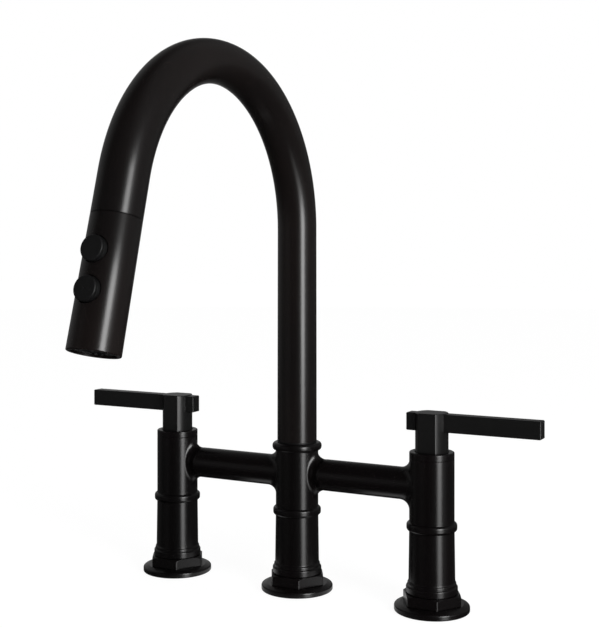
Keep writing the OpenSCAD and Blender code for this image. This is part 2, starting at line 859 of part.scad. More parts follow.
module set_screw(side) {
    color(steel) at_handle(side) translate([0, 0, z_screw]) rotate([-90, 0, 0]) difference() {
        disc(screw_d, stem_d / 2 + fit, post_af / 2 - screw_sink);
        translate([0, 0, post_af / 2 - screw_sink - 2]) cylinder(d = screw_d / 2, h = 3, $fn = 6);
    }
}

flange(-1);  // left_flange
flange(0);  // centre_flange
flange(1);  // right_flange
deck_gaskets();
hex_collar(-1);  // left_hex_collar
hex_collar(0);  // centre_hex_collar
hex_collar(1);  // right_hex_collar
shank(-1);  // left_shank
shank(0);  // centre_shank
shank(1);  // right_shank
leg(-1);  // left_leg
leg(0);  // centre_leg
leg(1);  // right_leg
valve_body(-1);  // left_valve_body
centre_body();
valve_body(1);  // right_valve_body
bridge_tube(-1);  // left_bridge_tube
bridge_tube(1);  // right_bridge_tube
seat_seals();
cartridge(-1);  // left_cartridge
cartridge(1);  // right_cartridge
bonnet(-1);  // left_bonnet
bonnet(1);  // right_bonnet
centre_core();
downpipe();
glide_ring();
retaining_screw();
spout_tube();
spout_journal();
journal_o_rings();
dock_sleeve();
spray_hose();
hose_coupling();
head_shell();
dock_neck();
hose_nut();
check_valve();
spray_core();
spray_face();
nozzle_mat();
aerator();
button_spring(upper_button_at);  // upper_button_spring
button_spring(lower_button_at);  // lower_button_spring
upper_button();
spool(upper_button_at);  // upper_spool
lower_button();
spool(lower_button_at);  // lower_spool
post(-1);  // left_post
bar(-1);  // left_bar
stem(-1);  // left_stem
valve_disc(-1);  // left_valve_disc
set_screw(-1);  // left_set_screw
post(1);  // right_post
bar(1);  // right_bar
stem(1);  // right_stem
valve_disc(1);  // right_valve_disc
set_screw(1);  // right_set_screw
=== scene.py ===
"""Looks of a bridge kitchen faucet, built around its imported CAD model.

The turned, swept and blended surfaces that show are worked out here with numpy, in millimetres of the
faucet's own frame: the origin is on the centre leg's axis on the deck, +Z is up, +X points to the right
handle and the spout reaches towards -Y. Every finish is a node material on Object coordinates, except that
the hose's braid follows the hose's own map.
"""

import logging
import math
from dataclasses import dataclass
from enum import Enum
from typing import Any, Sequence

import bpy
import numpy as np
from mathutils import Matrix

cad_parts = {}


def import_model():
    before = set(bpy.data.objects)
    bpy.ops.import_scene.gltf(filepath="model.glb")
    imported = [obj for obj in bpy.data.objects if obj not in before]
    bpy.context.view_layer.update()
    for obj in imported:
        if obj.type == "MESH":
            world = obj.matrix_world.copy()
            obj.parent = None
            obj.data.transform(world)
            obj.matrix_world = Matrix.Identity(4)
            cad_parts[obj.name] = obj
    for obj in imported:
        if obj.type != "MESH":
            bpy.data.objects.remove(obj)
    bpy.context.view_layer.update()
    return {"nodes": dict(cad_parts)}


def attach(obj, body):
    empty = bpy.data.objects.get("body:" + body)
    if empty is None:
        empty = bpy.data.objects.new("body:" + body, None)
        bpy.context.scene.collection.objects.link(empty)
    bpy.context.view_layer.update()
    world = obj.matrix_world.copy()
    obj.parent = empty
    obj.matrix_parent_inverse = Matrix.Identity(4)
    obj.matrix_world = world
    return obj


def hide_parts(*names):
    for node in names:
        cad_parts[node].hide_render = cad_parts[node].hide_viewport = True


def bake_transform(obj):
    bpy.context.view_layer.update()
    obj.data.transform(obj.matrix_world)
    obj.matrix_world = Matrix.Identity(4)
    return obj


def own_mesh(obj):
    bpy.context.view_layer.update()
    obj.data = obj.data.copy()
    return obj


LOG = logging.getLogger("faucet")
MM = 0.001
MERGE_DIGITS = 5
NO_LENGTH = 1e-7
NO_TURN = 1e-6
QUARTER = math.pi / 2.0
BLACK = (0.0, 0.0, 0.0)
WHITE = (1.0, 1.0, 1.0)
Array = np.ndarray


def unit(vectors: Array) -> Array:
    """Vectors divided by their own lengths."""
    return vectors / np.linalg.norm(vectors, axis=-1, keepdims=True)


def smooth_step(low: float, high: float, values: Array) -> Array:
    """0 up to low, 1 from high on, and 3t^2 - 2t^3 between them. It runs down where low is the larger."""
    t = np.clip((values - low) / (high - low), 0.0, 1.0)
    return t * t * (3.0 - 2.0 * t)


def full_turn(count: int) -> Array:
    """The angles of a full turn in equal steps, without its end."""
    return np.linspace(0.0, 2.0 * math.pi, count, endpoint=False)


def about_z(r: Array | float, a: Array, z: Array | float) -> Array:
    """Points (r cos a, r sin a, z) for all that the three arrays have together."""
    return np.stack(np.broadcast_arrays(r * np.cos(a), r * np.sin(a), z), axis=-1)


def grid_normals(points: Array) -> Array:
    """Normals of a grid whose columns close, from the differences between neighbouring points."""
    across = np.roll(points, -1, axis=1) - np.roll(points, 1, axis=1)
    return unit(np.cross(across, np.gradient(points, axis=0)))


class Side(Enum):
    """The three legs, by the share of the leg spacing at which each stands."""

    LEFT = -1
    CENTRE = 0
    RIGHT = 1

    @property
    def label(self) -> str:
        """The side's name, as the CAD nodes spell it."""
        return self.name.lower()


@dataclass(frozen=True)
class Place:
    """A right-handed frame within the faucet's: its origin and its three axes.

    Args:
        origin: Where the frame stands, in millimetres.
        axes: The directions of its x, y and z axes, one a row.
    """

    origin: tuple[float, float, float] = (0.0, 0.0, 0.0)
    axes: tuple[tuple[float, float, float], ...] = ((1.0, 0.0, 0.0), (0.0, 1.0, 0.0), (0.0, 0.0, 1.0))

    def points(self, local: Array) -> Array:
        """Local points in the faucet's frame."""
        return local @ np.array(self.axes) + np.array(self.origin)

    def turned(self, local: Array) -> Array:
        """Local directions in the faucet's frame."""
        return local @ np.array(self.axes)

    def moved(self, x: float = 0.0, y: float = 0.0, z: float = 0.0) -> "Place":
        """The same axes at a point given in this frame."""
        return Place(tuple(self.points(np.array([x, y, z]))), self.axes)


@dataclass(frozen=True)
class Knot:
    """A corner of a turned profile.

    Args:
        r: Distance from the axis.
        z: Height along the axis.
        round: Radius of the arc that replaces the corner; 0 keeps it sharp.
    """

    r: float
    z: float
    round: float = 0.0


@dataclass(frozen=True)
class Trace:
    """A profile as points, with a normal at each end of each of its segments."""

    points: Array
    starts: Array
    ends: Array


def trace(knots: Sequence[Knot], steps: int = 5) -> Trace:
    """Walks a profile and rounds its corners.

    The solid lies on the left of the walk. A corner of radius q that turns by an angle f is replaced by
    an arc that starts q tan(f/2) before it, and the arc's normals point away from its centre where the
    corner is convex and towards it where it is hollow.

    Args:
        knots: The profile's corners, in order.
        steps: Segments in each rounded corner.

    Returns:
        The points and the normals of the rounded profile.
    """
    corners = np.array([(k.r, k.z) for k in knots], float)
    ways = unit(np.diff(corners, axis=0))
    points, starts, ends = [corners[0]], [], []

    def line_to(point: Array, way: Array) -> None:
        """Adds a straight segment with its own normal at both ends.

        Args:
            point: Where it ends.
            way: Its direction.
        """
        if np.linalg.norm(point - points[-1]) < NO_LENGTH:
            return
        normal = np.array([way[1], -way[0]])
        points.append(point)
        starts.append(normal)
        ends.append(normal)

    for k in range(1, len(corners) - 1):
        before, after, q = ways[k - 1], ways[k], knots[k].round
        turn = math.atan2(before[0] * after[1] - before[1] * after[0], float(before @ after))
        if q <= 0.0 or abs(turn) < NO_TURN:
            line_to(corners[k], before)
            continue
        sign = math.copysign(1.0, turn)
        line_to(corners[k] - q * math.tan(abs(turn) / 2.0) * before, before)
        centre = points[-1] + sign * q * np.array([-before[1], before[0]])
        first = np.array([before[1], -before[0]])
        angles = turn * np.arange(steps + 1) / steps
        c, s = np.cos(angles), np.sin(angles)
        fan = np.stack([first[0] * c - first[1] * s, first[0] * s + first[1] * c], axis=1)
        points.extend(centre + sign * q * fan[1:])
        starts.extend(fan[:-1])
        ends.extend(fan[1:])
    line_to(corners[-1], ways[-1])
    return Trace(np.array(points), np.array(starts), np.array(ends))


class Shell:
    """Surface grids that become one closed mesh with exact normals.

    A grid has one row per step of its first parameter and one column per step of its second. Equal points
    of all grids are merged, and faces that a pole or a fold leaves flat lose a corner or are dropped.
    """

    def __init__(self, name: str) -> None:
        """Starts an empty shell.

        Args:
            name: The piece's name.
        """
        self.name = name
        self._corners: list[Array] = []
        self._normals: list[Array] = []
        self._uvs: list[Array] = []

    def grid(self, points: Array, starts: Array, ends: Array, closed: bool = True, flip: bool = False,
             uv: Array | None = None) -> "Shell":
        """Adds a grid of points.

        Args:
            points: (rows, columns, 3), in millimetres.
            starts: (rows - 1, columns, 3), the normals along the first edge of each band of faces.
            ends: The same along the second edge of each band.
            closed: Joins the last column to the first.
            flip: Turns the faces round, for a mirrored grid.
            uv: (rows, columns + 1, 2), or the same number of columns where the grid is open.

        Returns:
            The shell itself.
        """
        columns = points.shape[1]
        j = np.arange(columns if closed else columns - 1)
        n = (j + 1) % columns
        corners = np.stack([points[:-1][:, j], points[:-1][:, n], points[1:][:, n], points[1:][:, j]], axis=2)
        normals = np.stack([starts[:, j], starts[:, n], ends[:, n], ends[:, j]], axis=2)
        if uv is None:
            uv = np.zeros((points.shape[0], columns + 1, 2))
        uvs = np.stack([uv[:-1][:, j], uv[:-1][:, j + 1], uv[1:][:, j + 1], uv[1:][:, j]], axis=2)
        order = [0, 3, 2, 1] if flip else [0, 1, 2, 3]
        self._corners.append(corners.reshape(-1, 4, 3)[:, order])
        self._normals.append(normals.reshape(-1, 4, 3)[:, order])
        self._uvs.append(uvs.reshape(-1, 4, 2)[:, order])
        return self

    def smooth_grid(self, points: Array, normals: Array, closed: bool = True, flip: bool = False,
                    uv: Array | None = None) -> "Shell":
        """Adds a grid that has one normal at each point."""
        return self.grid(points, normals[:-1], normals[1:], closed, flip, uv)

    def turned(self, place: Place, knots: Sequence[Knot], around: int = 96, steps: int = 5,
               phase: float = 0.0) -> "Shell":
        """Turns a profile round an axis: (r cos a, r sin a, z) for a over a full turn.

        Args:
            place: The frame whose z axis is the profile's axis.
            knots: The profile.
            around: Columns in the full turn.
            steps: Segments in each rounded corner.
            phase: The angle of the first column.

        Returns:
            The shell itself.
        """
        line = trace(knots, steps)
        a = phase + full_turn(around)
        parts = (line.points, line.starts, line.ends)
        points, starts, ends = (about_z(pairs[:, :1], a, pairs[:, 1:]) for pairs in parts)
        return self.grid(place.points(points), place.turned(starts), place.turned(ends))

    def extruded(self, place: Place, outline: Array, sides: Array, low: float, high: float, edge: float,
                 steps: int = 4) -> "Shell":
        """Extrudes a closed outline along the place's z axis, with rounded ends.

        An end's row at angle b lies edge (1 - cos b) inside the outline and edge (1 - sin b) short of the
        end, and a last row in the middle closes it.

        Args:
            place: The frame of the outline.
            outline: (columns, 2) points of the outline, counter-clockwise.
            sides: (columns, 2) outward normals at those points.
            low: Where the extrusion starts.
            high: Where it ends.
            edge: Radius of the rounded ends.
            steps: Rows in each rounded end.

        Returns:
            The shell itself.
        """
        b = np.linspace(QUARTER, 0.0, steps + 1)
        c, s = np.cos(b), -np.sin(b)
        lower = np.stack([edge * (1.0 - c), low + edge * (1.0 + s), c, s], axis=1)
        upper = lower[::-1] * [1.0, -1.0, 1.0, -1.0] + [0.0, low + high, 0.0, 0.0]
        inset, z, c, s = (np.concatenate([lower, upper])[:, k, None] for k in range(4))
        flat = outline[None] - inset[..., None] * sides[None]
        count = len(outline)
        points = np.concatenate([flat, np.repeat(z, count, axis=1)[..., None]], axis=2)
        normals = np.concatenate([c[..., None] * sides, np.repeat(s, count, axis=1)[..., None]], axis=2)
        self.smooth_grid(place.points(points), place.turned(normals))
        for row, level, up in ((0, low, -1.0), (-1, high, 1.0)):
            ring = points[row][None]
            middle = np.zeros_like(ring)
            middle[..., 2] = level
            both = np.concatenate([middle, ring] if up < 0 else [ring, middle])
            flat_normals = np.zeros_like(both)
            flat_normals[..., 2] = up
            self.smooth_grid(place.points(both), place.turned(flat_normals))
        return self

    def piece(self, body: str, finish: "Finish", replaces: Sequence[str], blend: dict[str, Any] | None = None
              ) -> bpy.types.Object:
        """Makes the mesh, gives it its finish and, where no blend is given, has it ride on its body.

        Args:
            body: The CAD body that carries the piece.
            finish: Its finish, whose material the piece takes.
            replaces: The CAD nodes that it stands for.
            blend: Given for a piece meant to reach between two bodies; the piece is then left in the faucet's
                frame on no body, and what the dictionary holds is not used.

        Returns:
            The new object.
        """
        corners, normals, uvs = (np.concatenate(x) for x in (self._corners, self._normals, self._uvs))
        rounded = np.round(corners.reshape(-1, 3), MERGE_DIGITS) + 0.0
        keys, index = np.unique(rounded, axis=0, return_inverse=True)
        faces = index.reshape(-1, 4)
        same = faces == np.roll(faces, -1, axis=1)
        spare = same.sum(axis=1)
        quad, tri = spare == 0, spare == 1
        keep = ~same[tri]
        loops = np.concatenate([faces[quad].ravel(), faces[tri][keep]])
        loop_normals = np.concatenate([normals[quad].reshape(-1, 3), normals[tri][keep]])
        loop_uvs = np.concatenate([uvs[quad].reshape(-1, 2), uvs[tri][keep]])
        totals = np.concatenate([np.full(quad.sum(), 4), np.full(tri.sum(), 3)])
        mesh = bpy.data.meshes.new(self.name)
        mesh.vertices.add(len(keys))
        mesh.vertices.foreach_set("co", (keys * MM).astype(np.float32).ravel())
        mesh.loops.add(len(loops))
        mesh.loops.foreach_set("vertex_index", loops.astype(np.int32))
        mesh.polygons.add(len(totals))
        mesh.polygons.foreach_set("loop_start", (np.cumsum(totals) - totals).astype(np.int32))
        mesh.update(calc_edges=True)
        mesh.uv_layers.new(name="along").data.foreach_set("uv", loop_uvs.astype(np.float32).ravel())
        mesh.polygons.foreach_set("use_smooth", np.ones(len(totals), bool))
        mesh.normals_split_custom_set(unit(loop_normals).tolist())
        mesh.materials.append(finish.material())
        obj = bpy.data.objects.new(self.name, mesh)
        bpy.context.scene.collection.objects.link(obj)
        if blend is None:
            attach(obj, body)
        else:
            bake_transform(obj)
        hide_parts(*replaces)
        LOG.info("%s: %d faces on %s, %s", self.name, len(totals), body, finish.name)
        return obj


@dataclass(frozen=True)
class Track:
    """A path in space.

    Args:
        centres: (rows, 3), its points.
        across: (rows, 3), unit vectors at right angles to it.
        along: (rows, 3), unit vectors along it.
    """

    centres: Array
    across: Array
    along: Array

    def sweep(self, shell: Shell, radii: Array | float, around: int, inward: bool = False,
              uv_scale: float = 0.0) -> None:
        """Carries a circle along the path.

        A row's point at angle a is centre + radius (cos(a) across + sin(a) side), where side is the cross
        product of along and across.

        Args:
            shell: The shell that takes the surface.
            radii: The radius, or one for each row.
            around: Columns in a full turn.
            inward: Makes the inside of a wall.
            uv_scale: Millimetres of path for one unit of v; 0 leaves the map empty.
        """
        a = full_turn(around)[None, :, None]
        side = np.cross(self.along, self.across)
        rays = np.cos(a) * self.across[:, None] + np.sin(a) * side[:, None]
        radii = np.broadcast_to(radii, len(self.centres))
        points = self.centres[:, None] + radii[:, None, None] * rays
        uv = None
        if uv_scale:
            steps = np.linalg.norm(np.diff(self.centres, axis=0), axis=1)
            gone = np.concatenate([[0.0], np.cumsum(steps)]) / uv_scale
            turns = np.arange(around + 1) / around
            uv = np.stack(np.broadcast_arrays(turns[None, :], gone[:, None]), axis=2)
        shell.smooth_grid(points, -rays if inward else rays, flip=inward, uv=uv)

    def cap(self, shell: Shell, row: int, outer: float, around: int, inner: float = 0.0) -> None:
        """Closes an end of the path with a flat disc or ring that faces away from it.

        Args:
            shell: The shell that takes it.
            row: 0 for the start of the path, -1 for its end.
            outer: The disc's radius.
            around: Columns in a full turn.
            inner: Radius of the hole in it.
        """
        across, along = self.across[row], self.along[row]
        axes = (tuple(across), tuple(np.cross(along, across)), tuple(along))
        knots = [Knot(inner, 0.0), Knot(outer, 0.0)]
        shell.turned(Place(tuple(self.centres[row]), axes), knots if row == 0 else knots[::-1], around)


class Value:
    """A number that varies over a surface: Python operators on it add Math nodes."""

    def __init__(self, graph: "Graph", socket: bpy.types.NodeSocket) -> None:
        """Wraps an output socket of the graph."""
        self.graph = graph
        self.socket = socket

    def _math(self, operation: str, *values: "Value | float") -> "Value":
        """One Math node."""
        node = self.graph.node("ShaderNodeMath", {"operation": operation}, dict(enumerate(values)))
        return Value(self.graph, node.outputs[0])

    def __add__(self, other: "Value | float") -> "Value":
        """self + other."""
        return self._math("ADD", self, other)

    __radd__ = __add__

    def __mul__(self, other: "Value | float") -> "Value":
        """self * other."""
        return self._math("MULTIPLY", self, other)

    __rmul__ = __mul__

    def __sub__(self, other: "Value | float") -> "Value":
        """self - other."""
        return self._math("SUBTRACT", self, other)

    def __rsub__(self, other: "Value | float") -> "Value":
        """other - self."""
        return self._math("SUBTRACT", other, self)

    def __abs__(self) -> "Value":
        """The distance of self from 0."""
        return self._math("ABSOLUTE", self)

    def sine(self) -> "Value":
        """The sine of self, in radians."""
        return self._math("SINE", self)

    def clamped(self) -> "Value":
        """self held between 0 and 1."""
        return self._math("MINIMUM", self._math("MAXIMUM", self, 0.0), 1.0)


class Graph:
    """The node tree of a material or of the world, emptied."""

    def __init__(self, tree: bpy.types.NodeTree) -> None:
        """Takes over a node tree."""
        self.tree = tree
        self.tree.nodes.clear()

    def node(self, kind: str, settings: dict[str, Any], inputs: dict[Any, Any]) -> bpy.types.Node:
        """Adds a node.

        Args:
            kind: The node's type.
            settings: Its own settings, which are set first.
            inputs: Values or links for its sockets, by name or number.

        Returns:
            The node.
        """
        made = self.tree.nodes.new(kind)
        for key, value in settings.items():
            setattr(made, key, value)
        for key, value in inputs.items():
            self.feed(made.inputs[key], value)
        return made

    def feed(self, socket: bpy.types.NodeSocket, value: Any) -> None:
        """Links a socket or sets it.

        Args:
            socket: The input socket.
            value: A Value or an output socket to link, or what it is set to.
        """
        if isinstance(value, Value):
            value = value.socket
        if isinstance(value, bpy.types.NodeSocket):
            self.tree.links.new(value, socket)
        else:
            socket.default_value = value

    def place(self, scale: Sequence[float] = (1.0, 1.0, 1.0), source: str = "Object") -> bpy.types.NodeSocket:
        """Object coordinates, or the piece's own map, stretched by a scale."""
        where = self.node("ShaderNodeTexCoord", {}, {}).outputs[source]
        return self.node("ShaderNodeMapping", {}, {"Vector": where, "Scale": tuple(scale)}).outputs[0]

    def noise(self, scale: float, detail: float = 2.0, stretch: Sequence[float] = (1.0, 1.0, 1.0)) -> Value:
        """Fractal noise from 0 to 1, whose scale counts its features a metre."""
        inputs = {"Vector": self.place(stretch), "Scale": scale, "Detail": detail}
        return Value(self, self.node("ShaderNodeTexNoise", {}, inputs).outputs[0])

    def split(self, source: str = "Object") -> list[Value]:
        """The three parts of a coordinate as numbers."""
        node = self.node("ShaderNodeSeparateXYZ", {}, {0: self.place(source=source)})
        return [Value(self, out) for out in node.outputs]

    def mix(self, share: Value, first: Sequence[float], second: Sequence[float]) -> bpy.types.NodeSocket:
        """A colour between two, by a share."""
        inputs = {0: share, 6: (*first, 1.0), 7: (*second, 1.0)}
        return self.node("ShaderNodeMix", {"data_type": "RGBA"}, inputs).outputs[2]

    def glow(self, kind: str, strength: float) -> bpy.types.NodeSocket:
        """A white Emission or Background node."""
        return self.node(kind, {}, {"Color": (*WHITE, 1.0), "Strength": strength}).outputs[0]

    def shown(self) -> Value:
        """What shows the background.

        Returns:
            1 for the rays of the camera, of reflections and of clear materials, and 0 for any other.
        """
        rays = self.node("ShaderNodeLightPath", {}, {}).outputs
        kinds = ("Camera", "Glossy", "Transmission")
        camera, glossy, clear = (Value(self, rays[f"Is {kind} Ray"]) for kind in kinds)
        return (camera + glossy + clear).clamped()


class Surface(Graph):
    """The node tree of one material, with a Principled shader that is already wired to the output."""

    def __init__(self, name: str) -> None:
        """Makes a material.

        Args:
            name: Its name.
        """
        self.material = bpy.data.materials.new(name)
        self.material.use_nodes = True
        super().__init__(self.material.node_tree)
        self.shader = self.node("ShaderNodeBsdfPrincipled", {}, {})
        self.output = self.node("ShaderNodeOutputMaterial", {}, {"Surface": self.shader.outputs[0]})

    def paint(self, colour: bpy.types.NodeSocket, rough: Value | float, **constants: float) -> None:
        """Gives the shader what it shows.

        Args:
            colour: Its colour.
            rough: Its roughness.
            constants: Values of other sockets, by name with _ for each space.
        """
        self.feed(self.shader.inputs["Base Color"], colour)
        self.feed(self.shader.inputs["Roughness"], rough)
        for name, value in constants.items():
            self.shader.inputs[name.replace("_", " ")].default_value = value

    def bump(self, height: Value, depth: float) -> None:
        """Raises the surface by a height from 0 to 1 times a depth in metres."""
        node = self.node("ShaderNodeBump", {}, {"Height": height, "Distance": depth, "Strength": 1.0})
        self.feed(self.shader.inputs["Normal"], node.outputs[0])


@dataclass(frozen=True)
class Finish:
    """What a surface is made of. Each kind says in shade() how its nodes make it.

    Args:
        name: The material's name.
        slot: The record's material slot; not used here.
    """

    name: str
    slot: str

    def shade(self, graph: Surface) -> None:
        """Adds the finish's nodes to a graph."""
        raise NotImplementedError

    def material(self) -> bpy.types.Material:
        """Makes the finish's material the first time.

        Returns:
            The material.
        """
        found = bpy.data.materials.get(self.name)
        if found is not None:
            return found
        graph = Surface(self.name)
        self.shade(graph)
        return graph.material


@dataclass(frozen=True)
class SatinCoat(Finish):
    """Baked black coating on metal: even, fine-grained, with a slow drift between a cool and a warm black.

    Args:
        cool: The colour in its cooler clouds.
        warm: The colour in its warmer clouds.
        rough: Mean roughness.
        spread: How far the roughness drifts.
        grain: Height of the orange peel, in metres.
        specular: Specular level of the shader.
        clouds: Clouds a metre.
        cloud_low: Level of the cloud noise at which the warm black starts.
        cloud_gain: How fast it takes over.
        drifts: Drifts of the roughness a metre.
        grains: Grains of the orange peel a metre.
    """

    cool: tuple[float, float, float] = (0.0026, 0.0024, 0.0025)
    warm: tuple[float, float, float] = (0.0044, 0.0029, 0.0032)
    rough: float = 0.255
    spread: float = 0.02
    grain: float = 0.000006
    specular: float = 0.5
    clouds: float = 9.0
    cloud_low: float = 0.3
    cloud_gain: float = 2.5
    drifts: float = 60.0
    grains: float = 1400.0

    def shade(self, graph: Surface) -> None:
        """Colour and roughness follow two slow noises, and a fine one raises the orange peel.

        Args:
            graph: The nodes of the material.
        """
        clouds = graph.noise(self.clouds, detail=3.0)
        drift = graph.noise(self.drifts)
        share = ((clouds - self.cloud_low) * self.cloud_gain).clamped()
        rough = self.rough + (drift - 0.5) * (2.0 * self.spread)
        graph.paint(graph.mix(share, self.cool, self.warm), rough, Specular_IOR_Level=self.specular)
        graph.bump(graph.noise(self.grains, detail=1.0), self.grain)


@dataclass(frozen=True)
class Moulded(Finish):
    """Moulded plastic or rubber with a fine spark-eroded grain, or lapped ceramic.

    Args:
        colour: The mass colour.
        tint: The colour in its slightly lighter clouds.
        rough: Mean roughness.
        grain: Height of the grain, in metres.
        grains: Grains a metre.
        specular: Specular level of the shader.
        grain_detail: Octaves of the grain.
        clouds: Clouds a metre.
        cloud_detail: Octaves of the clouds.
        spread: How far the roughness follows them.
    """

    colour: tuple[float, float, float]
    tint: tuple[float, float, float]
    rough: float = 0.42
    grain: float = 0.000012
    grains: float = 2600.0
    specular: float = 0.5
    grain_detail: float = 2.0
    clouds: float = 45.0
    cloud_detail: float = 2.0
    spread: float = 0.1

    def shade(self, graph: Surface) -> None:
        """A slow noise shifts colour and roughness, and a fine one raises the grain.

        Args:
            graph: The nodes of the material.
        """
        clouds = graph.noise(self.clouds, self.cloud_detail)
        rough = self.rough + (clouds - 0.5) * self.spread
        graph.paint(graph.mix(clouds, self.colour, self.tint), rough, Specular_IOR_Level=self.specular)
        graph.bump(graph.noise(self.grains, self.grain_detail), self.grain)


@dataclass(frozen=True)
class Turned(Finish):
    """Metal from the lathe: fine tool marks across the axis and a slight tarnish.

    Args:
        colour: The clean metal.
        tarnish: The metal where it has dulled.
        rough: Mean roughness.
        marks: Tool marks a metre.
        axis: Stretch of the coordinates, so that the marks run round the axis.
        depth: Depth of the marks, in metres.
        spots: Dull spots a metre.
        spot_low: Level of the noise at which a spot starts.
        spot_gain: How fast it gets dull.
        dulled: How far a spot goes towards the tarnish.
        dull_rough: How much rougher a spot is.
        mark_rough: How far the roughness follows the marks.
    """

    colour: tuple[float, float, float] = (0.78, 0.56, 0.26)
    tarnish: tuple[float, float, float] = (0.46, 0.30, 0.13)
    rough: float = 0.3
    marks: float = 900.0
    axis: tuple[float, float, float] = (0.02, 0.02, 1.0)
    depth: float = 0.000008
    spots: float = 70.0
    spot_low: float = 0.45
    spot_gain: float = 3.0
    dulled: float = 0.6
    dull_rough: float = 0.15
    mark_rough: float = 0.1

    def shade(self, graph: Surface) -> None:
        """Noise stretched round the axis makes the marks, and a slow one the tarnish.

        Args:
            graph: The nodes of the material.
        """
        marks = graph.noise(self.marks, stretch=self.axis)
        dull = ((graph.noise(self.spots, detail=4.0) - self.spot_low) * self.spot_gain).clamped()
        rough = self.rough + dull * self.dull_rough + (marks - 0.5) * self.mark_rough
        graph.paint(graph.mix(dull * self.dulled, self.colour, self.tarnish), rough, Metallic=1.0)
        graph.bump(marks, self.depth)


@dataclass(frozen=True)
class Braid(Finish):
    """Nylon braid of a spray hose: two sets of strands that cross and dive under each other, with painted
    shade in the gaps between the strands and on a strand where it dives under.

    Args:
        light: Colour on the strands' crowns.
        dark: Colour between the strands and on a strand where it dives under: partly the gaps' own dark,
            partly painted shade.
        strands: Strands of each hand round the hose.
        rough: Roughness between the strands.
        polish: How much smoother the crowns are.
        depth: Height of the crowns, in metres.
    """

    light: tuple[float, float, float] = (0.20, 0.21, 0.23)
    dark: tuple[float, float, float] = (0.02, 0.02, 0.024)
    strands: float = 16.0
    rough: float = 0.75
    polish: float = 0.3
    depth: float = 0.0003

    def shade(self, graph: Surface) -> None:
        """Each set is |sin(pi (strands u +- v))|, and the sine of the other set lifts or sinks it. The colour
        follows that height, so the hollows and the sinking strand get painted shade.

        Args:
            graph: The nodes of the material.
        """
        u, v, _ = graph.split("UV")
        one = (u * self.strands + v) * math.pi
        two = (u * self.strands - v) * math.pi
        over = ((one + two) * 0.5).sine() * ((one - two) * 0.5).sine()
        top = abs(one.sine()) * (over * 0.5 + 0.5) + abs(two.sine()) * (0.5 - over * 0.5)
        # painted shade: the colour darkens with the strands' height, in the gaps and where a strand dives
        # under
        graph.paint(graph.mix(top.clamped(), self.dark, self.light), self.rough - top * self.polish)
        graph.bump(top, self.depth)


COAT = SatinCoat("satin_black_coat", "satin_black")
SPOUT_COAT = SatinCoat("warm_black_coat", "satin_black", cool=(0.0060, 0.0051, 0.0051),
                       warm=(0.0090, 0.0064, 0.0059))
LEVER_COAT = SatinCoat("matt_black_coat", "matt_black", cool=(0.0062, 0.0062, 0.0062),
                       warm=(0.0074, 0.0072, 0.0072), rough=0.32, grain=0.000008)
BUTTON_PLASTIC = Moulded("button_plastic", "black_plastic", (0.0066, 0.0066, 0.0068),
                         (0.0084, 0.0084, 0.0087), specular=0.3)
BLACK_PLASTIC = Moulded("inner_black_plastic", "black_plastic", (0.0045, 0.0045, 0.0047),
                        (0.0065, 0.0065, 0.0068), specular=0.3)
BLACK_NYLON = Moulded("black_nylon", "nylon", (0.006, 0.006, 0.006), (0.009, 0.009, 0.009),
                      rough=0.45, specular=0.3)
RUBBER = Moulded("black_rubber", "rubber", (0.016, 0.016, 0.016), (0.03, 0.03, 0.03),
                 rough=0.72, grain=0.00003, grains=1500.0)
NYLON = Moulded("natural_nylon", "nylon", (0.62, 0.61, 0.57), (0.72, 0.71, 0.68), rough=0.45)
BRASS = Turned("turned_brass", "brass")
STEEL = Turned("stainless_steel", "steel", (0.62, 0.62, 0.63), (0.42, 0.41, 0.40), rough=0.32)
BRAID = Braid("nylon_braid", "braid")
CERAMIC = Moulded("white_ceramic", "ceramic", (0.86, 0.84, 0.80), (0.93, 0.92, 0.89),
                  rough=0.16, grain=0.000002, grains=4000.0, grain_detail=1.0, clouds=120.0,
                  cloud_detail=3.0, spread=0.08)


@dataclass
class Layout:
    """Heights and spacings that several sub-assemblies share, in millimetres."""

    leg_x: float = 101.6
    hex_foot: float = 5.0
    hex_top: float = 12.0
    body_foot: float = 52.9
    bridge: float = 82.3
    bonnet_foot: float = 100.7
    bonnet_top: float = 105.3
    centre_top: float = 103.95
    body_r: float = 15.0
    bridge_r: float = 10.8
    fillet: float = 7.5
    branch: float = 22.8

    def leg(self, side: Side) -> Place:
        """The frame on the deck at a leg's axis."""
        return Place((side.value * self.leg_x, 0.0, 0.0))


@dataclass
class OnLeg:
    """What stands on the axis of one leg.

    Args:
        layout: The shared sizes.
        side: The leg.
    """

    layout: Layout
    side: Side

    def place(self) -> Place:
        """The frame on the deck at the leg's axis."""
        return self.layout.leg(self.side)

    def named(self, words: str) -> str:
        """A name that starts with the leg's side."""
        return f"{self.side.label}_{words}"

    def lathe(self, node: str, knots: Sequence[Knot], around: int) -> None:
        """A turned and coated piece of the base that stands for a CAD node."""
        shell = Shell(self.named(f"{node}_turned")).turned(self.place(), knots, around)
        shell.piece("base", COAT, [self.named(node)])


